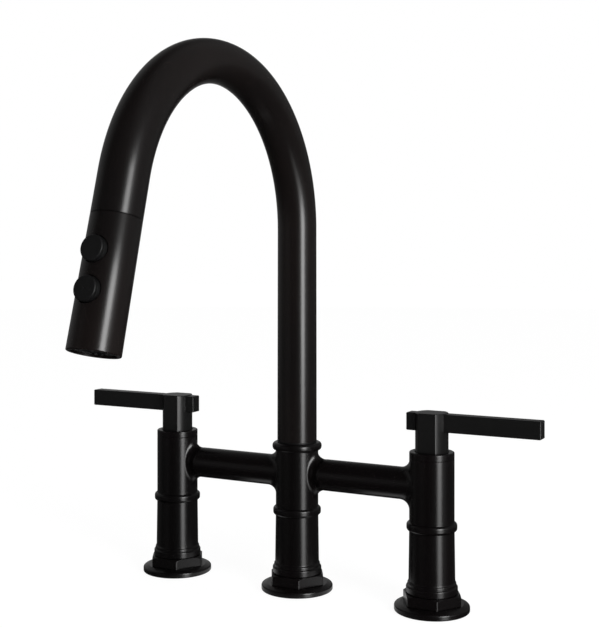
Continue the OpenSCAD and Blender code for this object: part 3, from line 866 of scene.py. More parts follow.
@dataclass
class Pedestal(OnLeg):
    """One of the three feet: flange, hexagonal collar and leg."""

    flange_r: float = 25.2
    rim_h: float = 3.6
    rim_rounds: tuple[float, float, float] = (0.8, 1.2, 1.5)
    plateau_r: float = 21.2
    bore_r: float = 14.3
    spigot_r: float = 16.0
    spigot_z: float = 2.6
    clearance: float = 0.1
    hex_flats: float = 35.9
    hex_crown: float = 2.1
    hex_chamfer: float = 1.4
    hex_edge: float = 0.35
    hex_relief: float = 0.25
    hex_wall_foot: float = 0.6
    hex_wall_rows: int = 4
    hex_crown_rows: int = 10
    hex_around: int = 240
    collar_r: float = 17.2
    collar_h: float = 4.6
    collar_rounds: tuple[float, float] = (0.5, 1.0)
    shoulder_r: float = 16.25
    shoulder_h: float = 6.7
    shoulder_rounds: tuple[float, float] = (0.25, 0.9)
    shoulder_taper: float = 0.05
    foot_r: float = 15.5
    foot_rise: float = 0.35
    foot_round: float = 1.2
    top_r: float = 15.05
    top_round: float = 0.2
    slope: float = 0.15
    joint_r: float = 13.9
    joint_l: float = 4.6
    around: int = 120

    def flange(self) -> None:
        """Turned ring on the deck, with a rounded rim and a shallow cone up to the collar."""
        z = self.layout.hex_foot
        seat = self.spigot_r + self.clearance
        foot, rim, cone = self.rim_rounds
        knots = [
            Knot(self.bore_r, 0.0), Knot(self.flange_r, 0.0, foot), Knot(self.flange_r, self.rim_h, rim),
            Knot(self.plateau_r, z, cone), Knot(seat, z), Knot(seat, self.spigot_z),
            Knot(self.bore_r, self.spigot_z), Knot(self.bore_r, 0.0),
        ]
        self.lathe("flange", knots, self.around)

    def hex_collar(self) -> None:
        """Hexagon with its corners turned down.

        The outline is the hexagon's distance a / cos(t), t the angle from the nearest flat's middle, softened
        at the corners, and no row is wider than the crown's cone at its height.
        """
        low, high = self.layout.hex_foot, self.layout.hex_top
        a = full_turn(self.hex_around)
        from_flat = (a % (math.pi / 3.0)) - math.pi / 6.0
        apothem = self.hex_flats / 2.0
        corner_r = apothem / math.cos(math.pi / 6.0)
        outline = np.minimum(apothem / np.cos(from_flat), corner_r - self.hex_edge)
        shoulder = high - self.hex_chamfer
        wall = np.linspace(low + self.hex_wall_foot, shoulder, self.hex_wall_rows)
        rows = self.hex_crown_rows
        crown = high - self.hex_chamfer * (1.0 - np.linspace(1.0 / rows, 1.0, rows))
        z = np.concatenate([[low, low + self.hex_relief], wall, crown])
        cone = corner_r - self.hex_crown * np.clip((z - shoulder) / self.hex_chamfer, 0.0, 1.0)
        inset = np.where(z <= low, self.hex_relief, 0.0)
        r = np.minimum(outline[None], cone[:, None]) - inset[:, None]
        bore = np.full((1, self.hex_around), self.spigot_r + self.clearance)
        r = np.concatenate([bore, r, bore])
        z = np.concatenate([[low], z, [high]])
        points = about_z(r, a, z[:, None])
        across = np.roll(points, -1, axis=1) - np.roll(points, 1, axis=1)
        rise = np.diff(points, axis=0)
        starts, ends = unit(np.cross(across[:-1], rise)), unit(np.cross(across[1:], rise))
        place = self.place()
        shell = Shell(self.named("hex_collar_cut")).grid(place.points(points), starts, ends)
        inward = np.repeat(-unit(points[:1] * np.array([1.0, 1.0, 0.0])), 2, axis=0)
        shell.smooth_grid(place.points(points[[-1, 0]]), inward)
        shell.piece("base", COAT, [self.named("hex_collar")])

    def leg(self) -> None:
        """Tapered column on a rounded collar, from the flange up into the body."""
        lay = self.layout
        collar, shoulder = lay.hex_top + self.collar_h, lay.hex_top + self.shoulder_h
        tip = lay.body_foot + self.joint_l
        knots = [
            Knot(0.0, self.spigot_z), Knot(self.spigot_r, self.spigot_z), Knot(self.spigot_r, lay.hex_top),
            Knot(self.collar_r, lay.hex_top, self.collar_rounds[0]),
            Knot(self.collar_r, collar, self.collar_rounds[1]),
            Knot(self.shoulder_r, collar + self.slope, self.shoulder_rounds[0]),
            Knot(self.shoulder_r - self.shoulder_taper, shoulder, self.shoulder_rounds[1]),
            Knot(self.foot_r, shoulder + self.foot_rise, self.foot_round),
            Knot(self.top_r, lay.body_foot - self.slope, self.top_round),
            Knot(self.joint_r, lay.body_foot), Knot(self.joint_r, tip), Knot(0.0, tip),
        ]
        self.lathe("leg", knots, self.around)

    def build(self) -> None:
        """Makes the foot's pieces."""
        self.flange()
        self.hex_collar()
        self.leg()


@dataclass
class Shank(OnLeg):
    """Threaded shank below the deck.

    The thread's ridge is 1 - |2 frac(z / pitch - a / (2 pi)) - 1|, cut flat at its root and its crest, and it
    fades out at both ends. The radius is the crest's, less the depth times what the ridge leaves of 1.
    """

    crest: float
    bore: float
    pitch: float
    depth: float = 0.75
    length: float = 50.0
    grip: float = 14.0
    top: float = -0.2
    fade: float = 2.8
    lead_turns: float = 1.5
    root: float = 0.15
    flank: float = 0.7
    wall: float = 0.4
    around: int = 72
    rows_per_turn: int = 8

    def build(self) -> None:
        """Makes the thread, the plain top that stands in the leg, and the bore."""
        foot = -self.length
        z = np.linspace(foot, self.top, int(self.length / self.pitch * self.rows_per_turn))[:, None]
        a = full_turn(self.around)[None, :]
        turn = z / self.pitch - a / (2.0 * math.pi)
        ridge = 1.0 - np.abs(2.0 * (turn - np.floor(turn)) - 1.0)
        lead = smooth_step(foot, foot + self.lead_turns * self.pitch, z)
        lead = lead * smooth_step(self.top, self.top - self.fade, z)
        r = self.crest - self.depth * (1.0 - lead * (ridge - self.root).clip(0.0, self.flank) / self.flank)
        points = about_z(r, a, z)
        place = self.place()
        shell = Shell(self.named("shank_threaded")).smooth_grid(place.points(points), grid_normals(points))
        ring = self.crest - self.depth
        inner = min(self.bore, ring - self.wall)
        shell.turned(place, [Knot(inner, foot), Knot(ring, foot)], self.around)
        plain = [Knot(ring, self.top), Knot(ring, self.grip), Knot(inner, self.grip), Knot(inner, foot)]
        shell.turned(place, plain, self.around)
        shell.piece("base", BRASS, [self.named("shank")])


@dataclass
class Tee(OnLeg):
    """A body on a leg, with one or two branches that flow into it through rolling-ball fillets."""

    bead_r: float = 16.85
    bead_h: float = 5.6
    top_bead_r: float = 17.4
    top_bead_h: float = 5.7
    crease: float = 0.25
    top_round: float = 0.4
    joint_r: float = 13.95
    mouth_r: float = 12.6
    centre_mouth_l: float = 8.0
    valve_mouth_l: float = 4.0
    spigot_r: float = 8.75
    spigot_l: float = 5.0
    around: int = 144
    blend_rows: int = 18
    flare_rows: int = 9
    neck_w: float = 7.6
    front_fillet: float = 3.0

    def _bead(self, outer: float, low: float, high: float) -> list[Knot]:
        """The two round corners of a bead on the body."""
        q = outer - self.layout.body_r
        return [Knot(outer, low, q), Knot(outer, high, q)]

    def _outside(self) -> list[Knot]:
        """Lays out the body's turned profile.

        Returns:
            Its corners, from the joint with the leg to the floor of the mouth at its top.
        """
        lay = self.layout
        foot, bead_top = lay.body_foot, lay.body_foot + self.bead_h
        knots = [Knot(0.0, foot), Knot(self.joint_r, foot), *self._bead(self.bead_r, foot, bead_top)]
        knots.append(Knot(lay.body_r, bead_top, self.crease))
        if self.side is Side.CENTRE:
            top, mouth_l = lay.centre_top, self.centre_mouth_l
            low = top - self.top_bead_h
            knots += [Knot(lay.body_r, low, self.crease), *self._bead(self.top_bead_r, low, top)]
        else:
            top, mouth_l = lay.bonnet_foot, self.valve_mouth_l
            knots.append(Knot(lay.body_r, top, self.top_round))
        return knots + [Knot(self.mouth_r, top), Knot(self.mouth_r, top - mouth_l), Knot(0.0, top - mouth_l)]

    def _branch(self, shell: Shell, way: float) -> None:
        """Adds a branch.

        For an angle f round the branch, its edge point is e = (w cos f, r sin f) with the normal m, and the
        ball's centre is c = (sqrt((R+q)^2 - c_y^2), e + q m), R the body's radius and q the ball's. The
        fillet is the arc c + q n, where n turns from the body's side to the branch's. A branch towards -X is
        round. One towards +X leaves the body as an oval that is narrower than it is high, with a smaller ball
        in front and at the back, and then widens to the tube's circle: its half axis w grows by 3t^2 - 2t^3
        of what is missing.

        Args:
            shell: The shell that takes it.
            way: 1 for a branch towards +X, -1 for one towards -X.
        """
        lay, oval = self.layout, way > 0.0
        f = full_turn(self.around)
        c, s = np.cos(f), np.sin(f)
        r = lay.bridge_r
        w = self.neck_w if oval else r
        narrowing = lay.fillet - self.front_fillet if oval else 0.0
        q = lay.fillet - narrowing * c**2
        big = lay.body_r + q
        across = unit(np.stack([0.0 * f, r * c, w * s], axis=1))
        centre = np.stack([0.0 * f, w * c, r * s], axis=1) + q[:, None] * across
        centre[:, 0] = np.sqrt(big**2 - centre[:, 1] ** 2)
        to_body = centre * np.array([-1.0, -1.0, 0.0]) / big[:, None]
        angle = np.arccos(np.clip(-(to_body * across).sum(axis=1), -1.0, 1.0))[None, :, None]
        t = np.linspace(0.0, 1.0, self.blend_rows)[:, None, None]
        fan = (to_body * np.sin((1.0 - t) * angle) - across * np.sin(t * angle)) / np.sin(angle)
        t = np.linspace(0.0, 1.0, self.flare_rows)[1:, None]
        half = w + (r - w) * smooth_step(0.0, 1.0, t)
        flare = np.stack([centre[:, 0] + (lay.branch - centre[:, 0]) * t, half * c, r * s + 0.0 * t], axis=2)
        points = np.concatenate([centre + q[:, None] * fan, flare])
        outward = np.stack([0.0 * f, c, s], axis=1)
        normals = grid_normals(points)
        normals[0], normals[-1] = -to_body, outward
        seam, tip = ([x, 0.0, 0.0] for x in (lay.branch, lay.branch + self.spigot_l))
        spigot = outward * self.spigot_r
        tail = np.stack([outward * r + seam, spigot + seam, spigot + tip, 0.0 * spigot + tip])
        flat = np.tile([1.0, 0.0, 0.0], (self.around, 1))
        place = self.place().moved(z=lay.bridge)
        mirror = np.array([way, 1.0, 1.0])
        tail_normals = np.stack([flat, outward, flat]) * mirror
        shell.smooth_grid(place.points(points * mirror), normals * mirror, flip=way < 0)
        shell.grid(place.points(tail * mirror), tail_normals, tail_normals, flip=way < 0)

    def build(self) -> None:
        """Makes the body with its branches."""
        shell = Shell(self.named("body_blended")).turned(self.place(), self._outside(), self.around)
        for way in {Side.LEFT: (1.0,), Side.RIGHT: (-1.0,), Side.CENTRE: (1.0, -1.0)}[self.side]:
            self._branch(shell, way)
        shell.piece("base", COAT, [self.named("body" if self.side is Side.CENTRE else "valve_body")])


@dataclass
class Bridge:
    """The two straight tubes between the bodies."""

    layout: Layout
    wall: float = 2.0
    edge: float = 0.06
    around: int = 120

    def build(self) -> None:
        """Makes a tube on each side: a turned ring whose axis lies along X."""
        lay = self.layout
        outer, bore = lay.bridge_r, lay.bridge_r - self.wall
        near, far = lay.branch, lay.leg_x - lay.branch
        knots = [Knot(bore, near), Knot(outer, near, self.edge), Knot(outer, far, self.edge), Knot(bore, far),
                 Knot(bore, near)]
        for side, start in ((Side.LEFT, -lay.leg_x), (Side.RIGHT, 0.0)):
            place = Place((start, 0.0, lay.bridge), ((0.0, 1.0, 0.0), (0.0, 0.0, 1.0), (1.0, 0.0, 0.0)))
            shell = Shell(f"{side.label}_bridge_drawn").turned(place, knots, self.around)
            shell.piece("base", COAT, [f"{side.label}_bridge_tube"])


@dataclass
class Bonnet(OnLeg):
    """The cap over a valve, with the shallow recess in which the post turns."""

    edge: float = 0.8
    seam_edge: float = 0.4
    recess_edge: float = 0.15
    recess_r: float = 11.55
    recess_h: float = 0.8
    stem_r: float = 4.5
    around: int = 120

    def build(self) -> None:
        """Makes the cap."""
        body_r, foot, top = self.layout.body_r, self.layout.bonnet_foot, self.layout.bonnet_top
        floor = top - self.recess_h
        knots = [
            Knot(self.stem_r, foot), Knot(body_r, foot, self.seam_edge), Knot(body_r, top, self.edge),
            Knot(self.recess_r, top, self.recess_edge), Knot(self.recess_r, floor), Knot(self.stem_r, floor),
            Knot(self.stem_r, foot),
        ]
        self.lathe("bonnet", knots, self.around)


@dataclass
class Lever(OnLeg):
    """A handle: a round post with two flats and a square bar through it."""

    post_r: float = 11.05
    flat: float = 9.35
    post_foot: float = 104.8
    post_top: float = 131.3
    post_corner: float = 0.7
    post_edge: float = 0.55
    side_lean: float = math.radians(12.0)
    bar_w: float = 9.0
    bar_foot: float = 119.0
    bar_top: float = 130.85
    bar_reach: float = 75.2
    bar_stub: float = 16.8
    bar_corner: float = 0.6
    bar_edge: float = 1.0
    bar_quarter: int = 7
    quarter: int = 15
    side_columns: tuple[float, float] = (1.0, 1.02)

    @staticmethod
    def _whole(quarter: Array, sides: Array) -> tuple[Array, Array]:
        """Mirrors a quarter of an outline in both axes.

        Args:
            quarter: The points of the first quarter.
            sides: The normals at those points.

        Returns:
            The points and the normals of the closed outline.
        """
        parts, normals = [], []
        for sx, sy in ((1, 1), (-1, 1), (-1, -1), (1, -1)):
            order = slice(None) if sx * sy > 0 else slice(None, None, -1)
            parts.append((quarter * [sx, sy])[order])
            normals.append((sides * [sx, sy])[order])
        return np.concatenate(parts), np.concatenate(normals)

    def post_outline(self) -> tuple[Array, Array]:
        """Circle of the post's radius cut by the flats.

        A smaller circle, cut at a smaller distance, is grown by the corner's radius: for a normal at angle
        b the point is the smaller shape's furthest one that way, plus the corner's radius times the normal.
        The photographed sides are a little flatter than that circle next to the flats: the normals there
        lean towards the sides by side_lean, and less and less round to the side's middle.

        Returns:
            The points and the normals of the outline.
        """
        last, first = self.side_columns
        b = np.concatenate([np.linspace(0.0, last, self.quarter), np.linspace(first, QUARTER, self.quarter)])
        normal = np.stack([np.cos(b), np.sin(b)], axis=1)
        r, f = self.post_r - self.post_corner, self.flat - self.post_corner
        limit = math.asin(f / r)
        inner = r * np.stack([np.cos(np.minimum(b, limit)), np.sin(np.minimum(b, limit))], axis=1)
        on_side = b * (1.0 - self.side_lean / limit)
        on_corner = QUARTER - (QUARTER - b) * (1.0 + self.side_lean / (QUARTER - limit))
        shown = np.where(b < limit, on_side, on_corner)
        sides = np.stack([np.cos(shown), np.sin(shown)], axis=1)
        return self._whole(inner + self.post_corner * normal, sides)

    def bar_outline(self) -> tuple[Array, Array]:
        """Rectangle of the bar's width and height with round corners.

        Returns:
            The points and the normals of the outline.
        """
        b = np.linspace(0.0, QUARTER, self.bar_quarter)
        normal = np.stack([np.cos(b), np.sin(b)], axis=1)
        half = np.array([self.bar_w / 2.0, (self.bar_top - self.bar_foot) / 2.0]) - self.bar_corner
        return self._whole(half + self.bar_corner * normal, normal)

    def build(self) -> None:
        """Makes the post and the bar."""
        body, way = self.named("handle"), float(self.side.value)
        post = Shell(self.named("post_milled"))
        post.extruded(self.place(), *self.post_outline(), self.post_foot, self.post_top, self.post_edge)
        post.piece(body, LEVER_COAT, [self.named("post")])
        axes = ((0.0, way, 0.0), (0.0, 0.0, 1.0), (way, 0.0, 0.0))
        place = Place((way * self.layout.leg_x, 0.0, (self.bar_foot + self.bar_top) / 2.0), axes)
        bar = Shell(self.named("bar_milled"))
        bar.extruded(place, *self.bar_outline(), -self.bar_stub, self.bar_reach, self.bar_edge)
        bar.piece(body, LEVER_COAT, [self.named("bar")])


@dataclass
class Gooseneck:
    """The spout: a column, a bend and a straight end, and the hose inside."""

    foot: float = 104.85
    bend_z: float = 253.8
    bend_r: float = 102.9
    bend_angle: float = math.radians(164.67)
    end_l: float = 25.0
    gap: float = 0.3
    bore_r: float = 12.4
    hose_r: float = 5.5
    hose_foot: float = -62.0
    hose_around: int = 48
    braid: float = 6.0
    pull: float = 150.0
    stiff: float = 9.0
    nut_floor: float = 1.0
    play: float = 0.2
    rim: float = 0.3
    rim_rows: int = 4
    foot_r: float = 13.9
    thinning: float = 0.22
    bend_tube_r: float = 13.7
    widening: float = 0.74
    widening_span: tuple[float, float] = (math.radians(85.0), math.radians(125.0))
    end_flare: float = 0.05
    around: int = 128

    def way(self) -> Array:
        """The direction of the straight end."""
        return np.array([0.0, -math.sin(self.bend_angle), math.cos(self.bend_angle)])

    def outward(self) -> Array:
        """The direction from the straight end towards the user."""
        return np.array([0.0, math.cos(self.bend_angle), math.sin(self.bend_angle)])

    def bend_end(self) -> Array:
        """Where the bend ends."""
        a, r = self.bend_angle, self.bend_r
        return np.array([0.0, -r * (1.0 - math.cos(a)), self.bend_z + r * math.sin(a)])

    def head_place(self) -> Place:
        """The spray head's frame at its seam: z leads along the flow and y towards the user."""
        seam = self.bend_end() + self.way() * (self.end_l + self.gap)
        return Place(tuple(seam), ((1.0, 0.0, 0.0), tuple(self.outward()), tuple(self.way())))

    def path(self, low: float, end: float, column_rows: int, bend_rows: int, end_rows: int
             ) -> tuple[Track, Array]:
        """The middle line from a height on the column to a distance past the bend.

        Args:
            low: Height at which the path starts.
            end: Distance past the bend's end at which it stops.
            column_rows: Rows on the column.
            bend_rows: Rows on the bend.
            end_rows: Rows on the straight end; 0 stops the path at the bend's end.

        Returns:
            The path, and the angle that the bend has reached at each row.
        """
        column = np.linspace(low, self.bend_z, column_rows, endpoint=False)
        turn = np.linspace(0.0, self.bend_angle, bend_rows)
        tail = np.linspace(0.0, end, end_rows + 1)[1:]
        a = np.concatenate([np.zeros(column_rows), turn, np.full(end_rows, self.bend_angle)])
        r = self.bend_r
        centres = np.stack([np.zeros_like(a), -r * (1.0 - np.cos(a)), self.bend_z + r * np.sin(a)], axis=1)
        centres[:column_rows, 2] = column
        centres[column_rows + bend_rows:] += tail[:, None] * self.way()
        along = np.stack([np.zeros_like(a), -np.sin(a), np.cos(a)], axis=1)
        return Track(centres, np.tile([1.0, 0.0, 0.0], (len(a), 1)), along), a

    def tube_radii(self, centres: Array, angles: Array) -> Array:
        """Outer radius of the tube, measured along the photographed one.

        It thins slightly up the column and widens over the far side of the bend.

        Args:
            centres: The path's points.
            angles: The angle that the bend has reached at each.

        Returns:
            The radius at each point.
        """
        up = np.clip((centres[:, 2] - self.foot) / (self.bend_z - self.foot), 0.0, 1.0)
        column = self.foot_r - self.thinning * up
        bend = self.bend_tube_r + self.widening * smooth_step(*self.widening_span, angles)
        past = np.clip((centres - self.bend_end()) @ self.way() / self.end_l, 0.0, 1.0)
        on_end = angles >= self.bend_angle - NO_TURN
        return np.where(angles <= 0.0, column, bend) + np.where(on_end, self.end_flare * past, 0.0)

    def tube(self) -> None:
        """The tube as an outer and an inner swept wall, closed at both ends by narrow rounded rims."""
        track, a = self.path(self.foot, self.end_l, column_rows=40, bend_rows=190, end_rows=14)
        outer = self.tube_radii(track.centres, a)
        b = np.linspace(0.0, QUARTER, self.rim_rows + 1)
        rows = np.minimum(np.arange(len(outer) + self.rim_rows), len(outer) - 1)
        centres, radii = track.centres[rows], outer[rows]
        centres[-len(b):] += self.rim * (np.sin(b) - 1.0)[:, None] * track.along[-1]
        radii[-len(b):] -= self.rim * (1.0 - np.cos(b))
        track = Track(centres, track.across[rows], track.along[rows])
        shell = Shell("gooseneck_drawn")
        track.sweep(shell, radii, self.around)
        track.sweep(shell, self.bore_r, self.around, inward=True)
        for row in (0, -1):
            track.cap(shell, row, float(radii[row]), self.around, self.bore_r)
        shell.piece("spout", SPOUT_COAT, ["spout_tube"])

    def hose(self) -> None:
        """The braided hose: fixed in the column and the bend, and a straight length past it towards the spray
        head, its braid drawn closer for the pull.
        """
        track, _ = self.path(self.hose_foot, 0.0, column_rows=60, bend_rows=90, end_rows=0)
        shell = Shell("hose_in_spout")
        track.sweep(shell, self.hose_r, self.hose_around, uv_scale=self.braid)
        track.cap(shell, 0, self.hose_r, self.hose_around)
        shell.piece("spout", BRAID, ["spray_hose"])
        start, way = self.bend_end(), self.way()
        tail_l = self.end_l + self.gap - self.nut_floor - self.play
        rows = 160
        centres = start + np.linspace(0.0, tail_l, rows)[:, None] * way
        track = Track(centres, np.tile([1.0, 0.0, 0.0], (rows, 1)), np.tile(way, (rows, 1)))
        shell = Shell("hose_to_head")
        stretch = tail_l / (tail_l + self.pull)
        track.sweep(shell, self.hose_r, self.hose_around, uv_scale=self.braid * stretch)
        track.cap(shell, -1, self.hose_r, self.hose_around)
        end = start + way * (tail_l - self.stiff)
        blend = {"to": "spray_head", "start": tuple(start * MM), "end": tuple(end * MM)}
        shell.piece("spout", BRAID, ["spray_hose"], blend)

    def build(self) -> None:
        """Makes the tube and the hose."""
        self.tube()
        self.hose()


@dataclass
class SprayHead:
    """The pull-down head's shell, with a round hole for each button."""

    neck: Gooseneck
    length: float = 75.3
    top_r: float = 14.5
    end_r: float = 15.0
    bore_r: float = 12.7
    bore_edge: float = 0.25
    neck_bore_r: float = 10.3
    top_t: float = 3.0
    seam_edge: float = 0.3
    seam_lean: float = math.radians(6.3)
    lean_span: tuple[float, float] = (8.0, 46.0)
    rim_edge: float = 0.8
    buttons_at: tuple[float, float] = (21.2, 43.3)
    hole_r: float = 7.85
    hole_depth: float = 10.2
    around: int = 128
    rows_above: int = 7
    rows_below: int = 12
    window_columns: int = 30
    window_rows: int = 14
    window_rings: int = 9

    def radius(self, s: Array) -> Array:
        """The shell's radius at a distance from the seam."""
        return self.top_r + (self.end_r - self.top_r) * s / (self.length - self.rim_edge)

    def _skin(self, u: Array, s: Array) -> tuple[Array, Array]:
        """The skin's surface.

        The photographed shell swells a few hundredths of a millimetre out of its seam, so that its highlight
        fades there. The normals carry that: they lean towards the seam by seam_lean, and less and less down
        to the end of lean_span.

        Args:
            u: Angles from the user's side.
            s: Distances from the seam.

        Returns:
            The points and their normals.
        """
        r = self.radius(s)
        points = np.stack([r * np.sin(u), r * np.cos(u), s], axis=-1)
        slope = (self.end_r - self.top_r) / self.length
        lean = math.tan(self.seam_lean) * (1.0 - smooth_step(*self.lean_span, s))
        normals = unit(np.stack([np.sin(u), np.cos(u), -slope - lean + 0.0 * u], axis=-1))
        return points, normals

    def shell(self) -> None:
        """Makes the shell.

        The skin is a grid over the angle u and the distance s. Round each button a window is left out of
        it, and a ring of faces leads from the window's edge to the hole: between the hole's point (asin(h
        cos f / r), h sin f) and the edge's point in the same direction f, in equal steps of u and s. The
        hole's wall then goes straight in.
        """
        place = self.neck.head_place()
        shell = Shell("spray_head_shell")
        u = full_turn(self.around)
        step = 2.0 * math.pi / self.around
        half_u = self.window_columns // 2
        pitch = self.buttons_at[1] - self.buttons_at[0]
        tops = [b - pitch / 2.0 for b in self.buttons_at]
        window_s = [top + pitch * np.arange(self.window_rows + 1) / self.window_rows for top in tops]
        above = np.linspace(self.seam_edge, tops[0], self.rows_above)[:-1]
        below = np.linspace(tops[1] + pitch, self.length - self.rim_edge, self.rows_below)[1:]
        all_s = np.concatenate([above, window_s[0], window_s[1][1:], below])
        grid_u, grid_s = np.meshgrid(u, all_s)
        points, normals = self._skin(grid_u, grid_s)
        first, last = len(above), len(above) + 2 * self.window_rows
        behind = np.arange(half_u, self.around - half_u + 1)
        for rows, columns, closed in (
            (slice(0, first + 1), np.arange(self.around), True),
            (slice(first, last + 1), behind, False),
            (slice(last, len(all_s)), np.arange(self.around), True),
        ):
            part = points[rows][:, columns], normals[rows][:, columns]
            shell.smooth_grid(place.points(part[0]), place.turned(part[1]), closed, flip=True)
        for centre, levels in zip(self.buttons_at, window_s, strict=True):
            self._window(shell, place, centre, levels, step * half_u)
        self._rims(shell, place)
        shell.piece("spray_head", SPOUT_COAT, ["head_shell"])

    def _window(self, shell: Shell, place: Place, centre: float, levels: Array, half: float) -> None:
        """Fills a window round a button's hole and makes the hole's wall.

        Args:
            shell: The shell that takes them.
            place: The head's frame.
            centre: The hole's distance from the seam.
            levels: Distances of the window's rows from the seam.
            half: Half of the window's width, as an angle.
        """
        us = np.linspace(-half, half, 2 * (self.window_columns // 2) + 1)
        up, along = np.ones(len(levels) - 1), np.ones(len(us) - 1)
        edge_u = np.concatenate([us[:-1], half * up, us[:0:-1], -half * up])
        edge_s = np.concatenate([levels[0] * along, levels[:-1], levels[-1] * along, levels[:0:-1]])
        f = np.arctan2(edge_s - centre, edge_u * self.radius(np.array(centre)))
        hole_s = centre + self.hole_r * np.sin(f)
        hole_u = np.arcsin(self.hole_r * np.cos(f) / self.radius(hole_s))
        t = np.linspace(0.0, 1.0, self.window_rings)[:, None]
        points, normals = self._skin((1 - t) * edge_u + t * hole_u, (1 - t) * edge_s + t * hole_s)
        shell.smooth_grid(place.points(points), place.turned(normals), flip=True)
        wall = points[[-1, -1]]
        wall[1, :, 1] = self.hole_depth
        inward = np.stack([-np.cos(f), np.zeros_like(f), -np.sin(f)], axis=1)
        shell.smooth_grid(place.points(wall), place.turned(np.stack([inward, inward])), flip=True)

    def _rims(self, shell: Shell, place: Place) -> None:
        """Closes the shell at the seam, at the spray face and along its bores.

        Args:
            shell: The shell that takes the rims.
            place: The head's frame.
        """
        top, end, u = self.seam_edge, self.length, self.around
        r_top, r_end = float(self.radius(np.array(top))), float(self.radius(np.array(end - self.rim_edge)))
        seam = [Knot(self.neck_bore_r, 0.0), Knot(r_top - top, 0.0), Knot(r_top, top)]
        lip = [Knot(r_end, end - self.rim_edge), Knot(r_end, end, self.rim_edge),
               Knot(self.bore_r, end, self.bore_edge), Knot(self.bore_r, self.top_t),
               Knot(self.neck_bore_r, self.top_t), Knot(self.neck_bore_r, 0.0)]
        for knots in (seam, lip):
            shell.turned(place, knots, u, phase=QUARTER)


@dataclass
class Button:
    """A round push button: disc, fine groove, neck, and the spring behind it."""

    neck: Gooseneck
    label: str
    at: float
    dimple: bool
    r: float = 7.25
    face: float = 17.31
    base: float = 12.25
    edge: float = 0.9
    groove_at: float = 1.8
    groove: float = 0.35
    stem_r: float = 4.6
    stem_end: float = 9.05
    spring_floor: float = 5.4
    stem_edge: float = 0.2
    base_edge: float = 0.3
    groove_edge: float = 0.1
    dimple_rs: tuple[float, float] = (0.62, 0.3)
    dimple_rounds: tuple[float, float] = (0.05, 0.1)
    dimple_depth: float = 0.3
    dimple_dish: float = 0.02
    around: int = 96
    steps: int = 4
    spring_around: int = 10
    spring_rows: int = 28
    spring_r: float = 3.15
    wire_r: float = 0.3
    turns: float = 4.0
    travel: float = 1.4

    def place(self) -> Place:
        """Finds where the button stands.

        Returns:
            Its frame, whose z leads out of the head.
        """
        seat = self.neck.head_place().moved(z=self.at)
        x, y, z = seat.axes
        return Place(seat.origin, (x, tuple(-np.array(z)), y))

    def cap(self) -> None:
        """Turned disc with a groove round it, on its neck."""
        high = self.face - self.groove_at
        low, inner = high - self.groove, self.r - self.groove
        knots = [
            Knot(0.0, self.stem_end), Knot(self.stem_r, self.stem_end, self.stem_edge),
            Knot(self.stem_r, self.base), Knot(self.r, self.base, self.base_edge),
            Knot(self.r, low, self.groove_edge), Knot(inner, low), Knot(inner, high),
            Knot(self.r, high, self.groove_edge), Knot(self.r, self.face, self.edge),
        ]
        if self.dimple:
            (rim, floor), (lip, hollow) = self.dimple_rs, self.dimple_rounds
            knots.append(Knot(rim, self.face, lip))
            knots.append(Knot(floor, self.face - self.dimple_depth + self.dimple_dish, hollow))
        depth = self.dimple_depth if self.dimple else 0.0
        knots.append(Knot(0.0, self.face - depth))
        shell = Shell(f"{self.label}_button_cap").turned(self.place(), knots, self.around, self.steps)
        shell.piece(f"{self.label}_button", BUTTON_PLASTIC, [f"{self.label}_button"])

    def spring(self) -> None:
        """Coil spring: a circle carried along (r cos a, r sin a, rise a)."""
        place, r, wire = self.place(), self.spring_r, self.wire_r
        depth = self.stem_end - self.spring_floor
        a = np.linspace(0.0, 2.0 * math.pi * self.turns, int(self.spring_rows * self.turns))
        rise = (depth - 2.0 * wire) / (2.0 * math.pi * self.turns)
        centres = about_z(r, a, self.spring_floor + wire + rise * a)
        along = unit(np.stack([-r * np.sin(a), r * np.cos(a), np.full_like(a, rise)], axis=1))
        track = Track(place.points(centres), place.turned(about_z(1.0, a, 0.0)), place.turned(along))
        shell = Shell(f"{self.label}_spring_coil")
        track.sweep(shell, wire, self.spring_around)
        for row in (0, -1):
            track.cap(shell, row, wire, self.spring_around)
        obj = shell.piece("spray_head", STEEL, [f"{self.label}_button_spring"])
        anchor = tuple(place.points(np.array([0.0, 0.0, self.spring_floor])) * MM)
        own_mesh(obj)

    def build(self) -> None:
        """Makes the cap and its spring."""
        self.cap()
        self.spring()


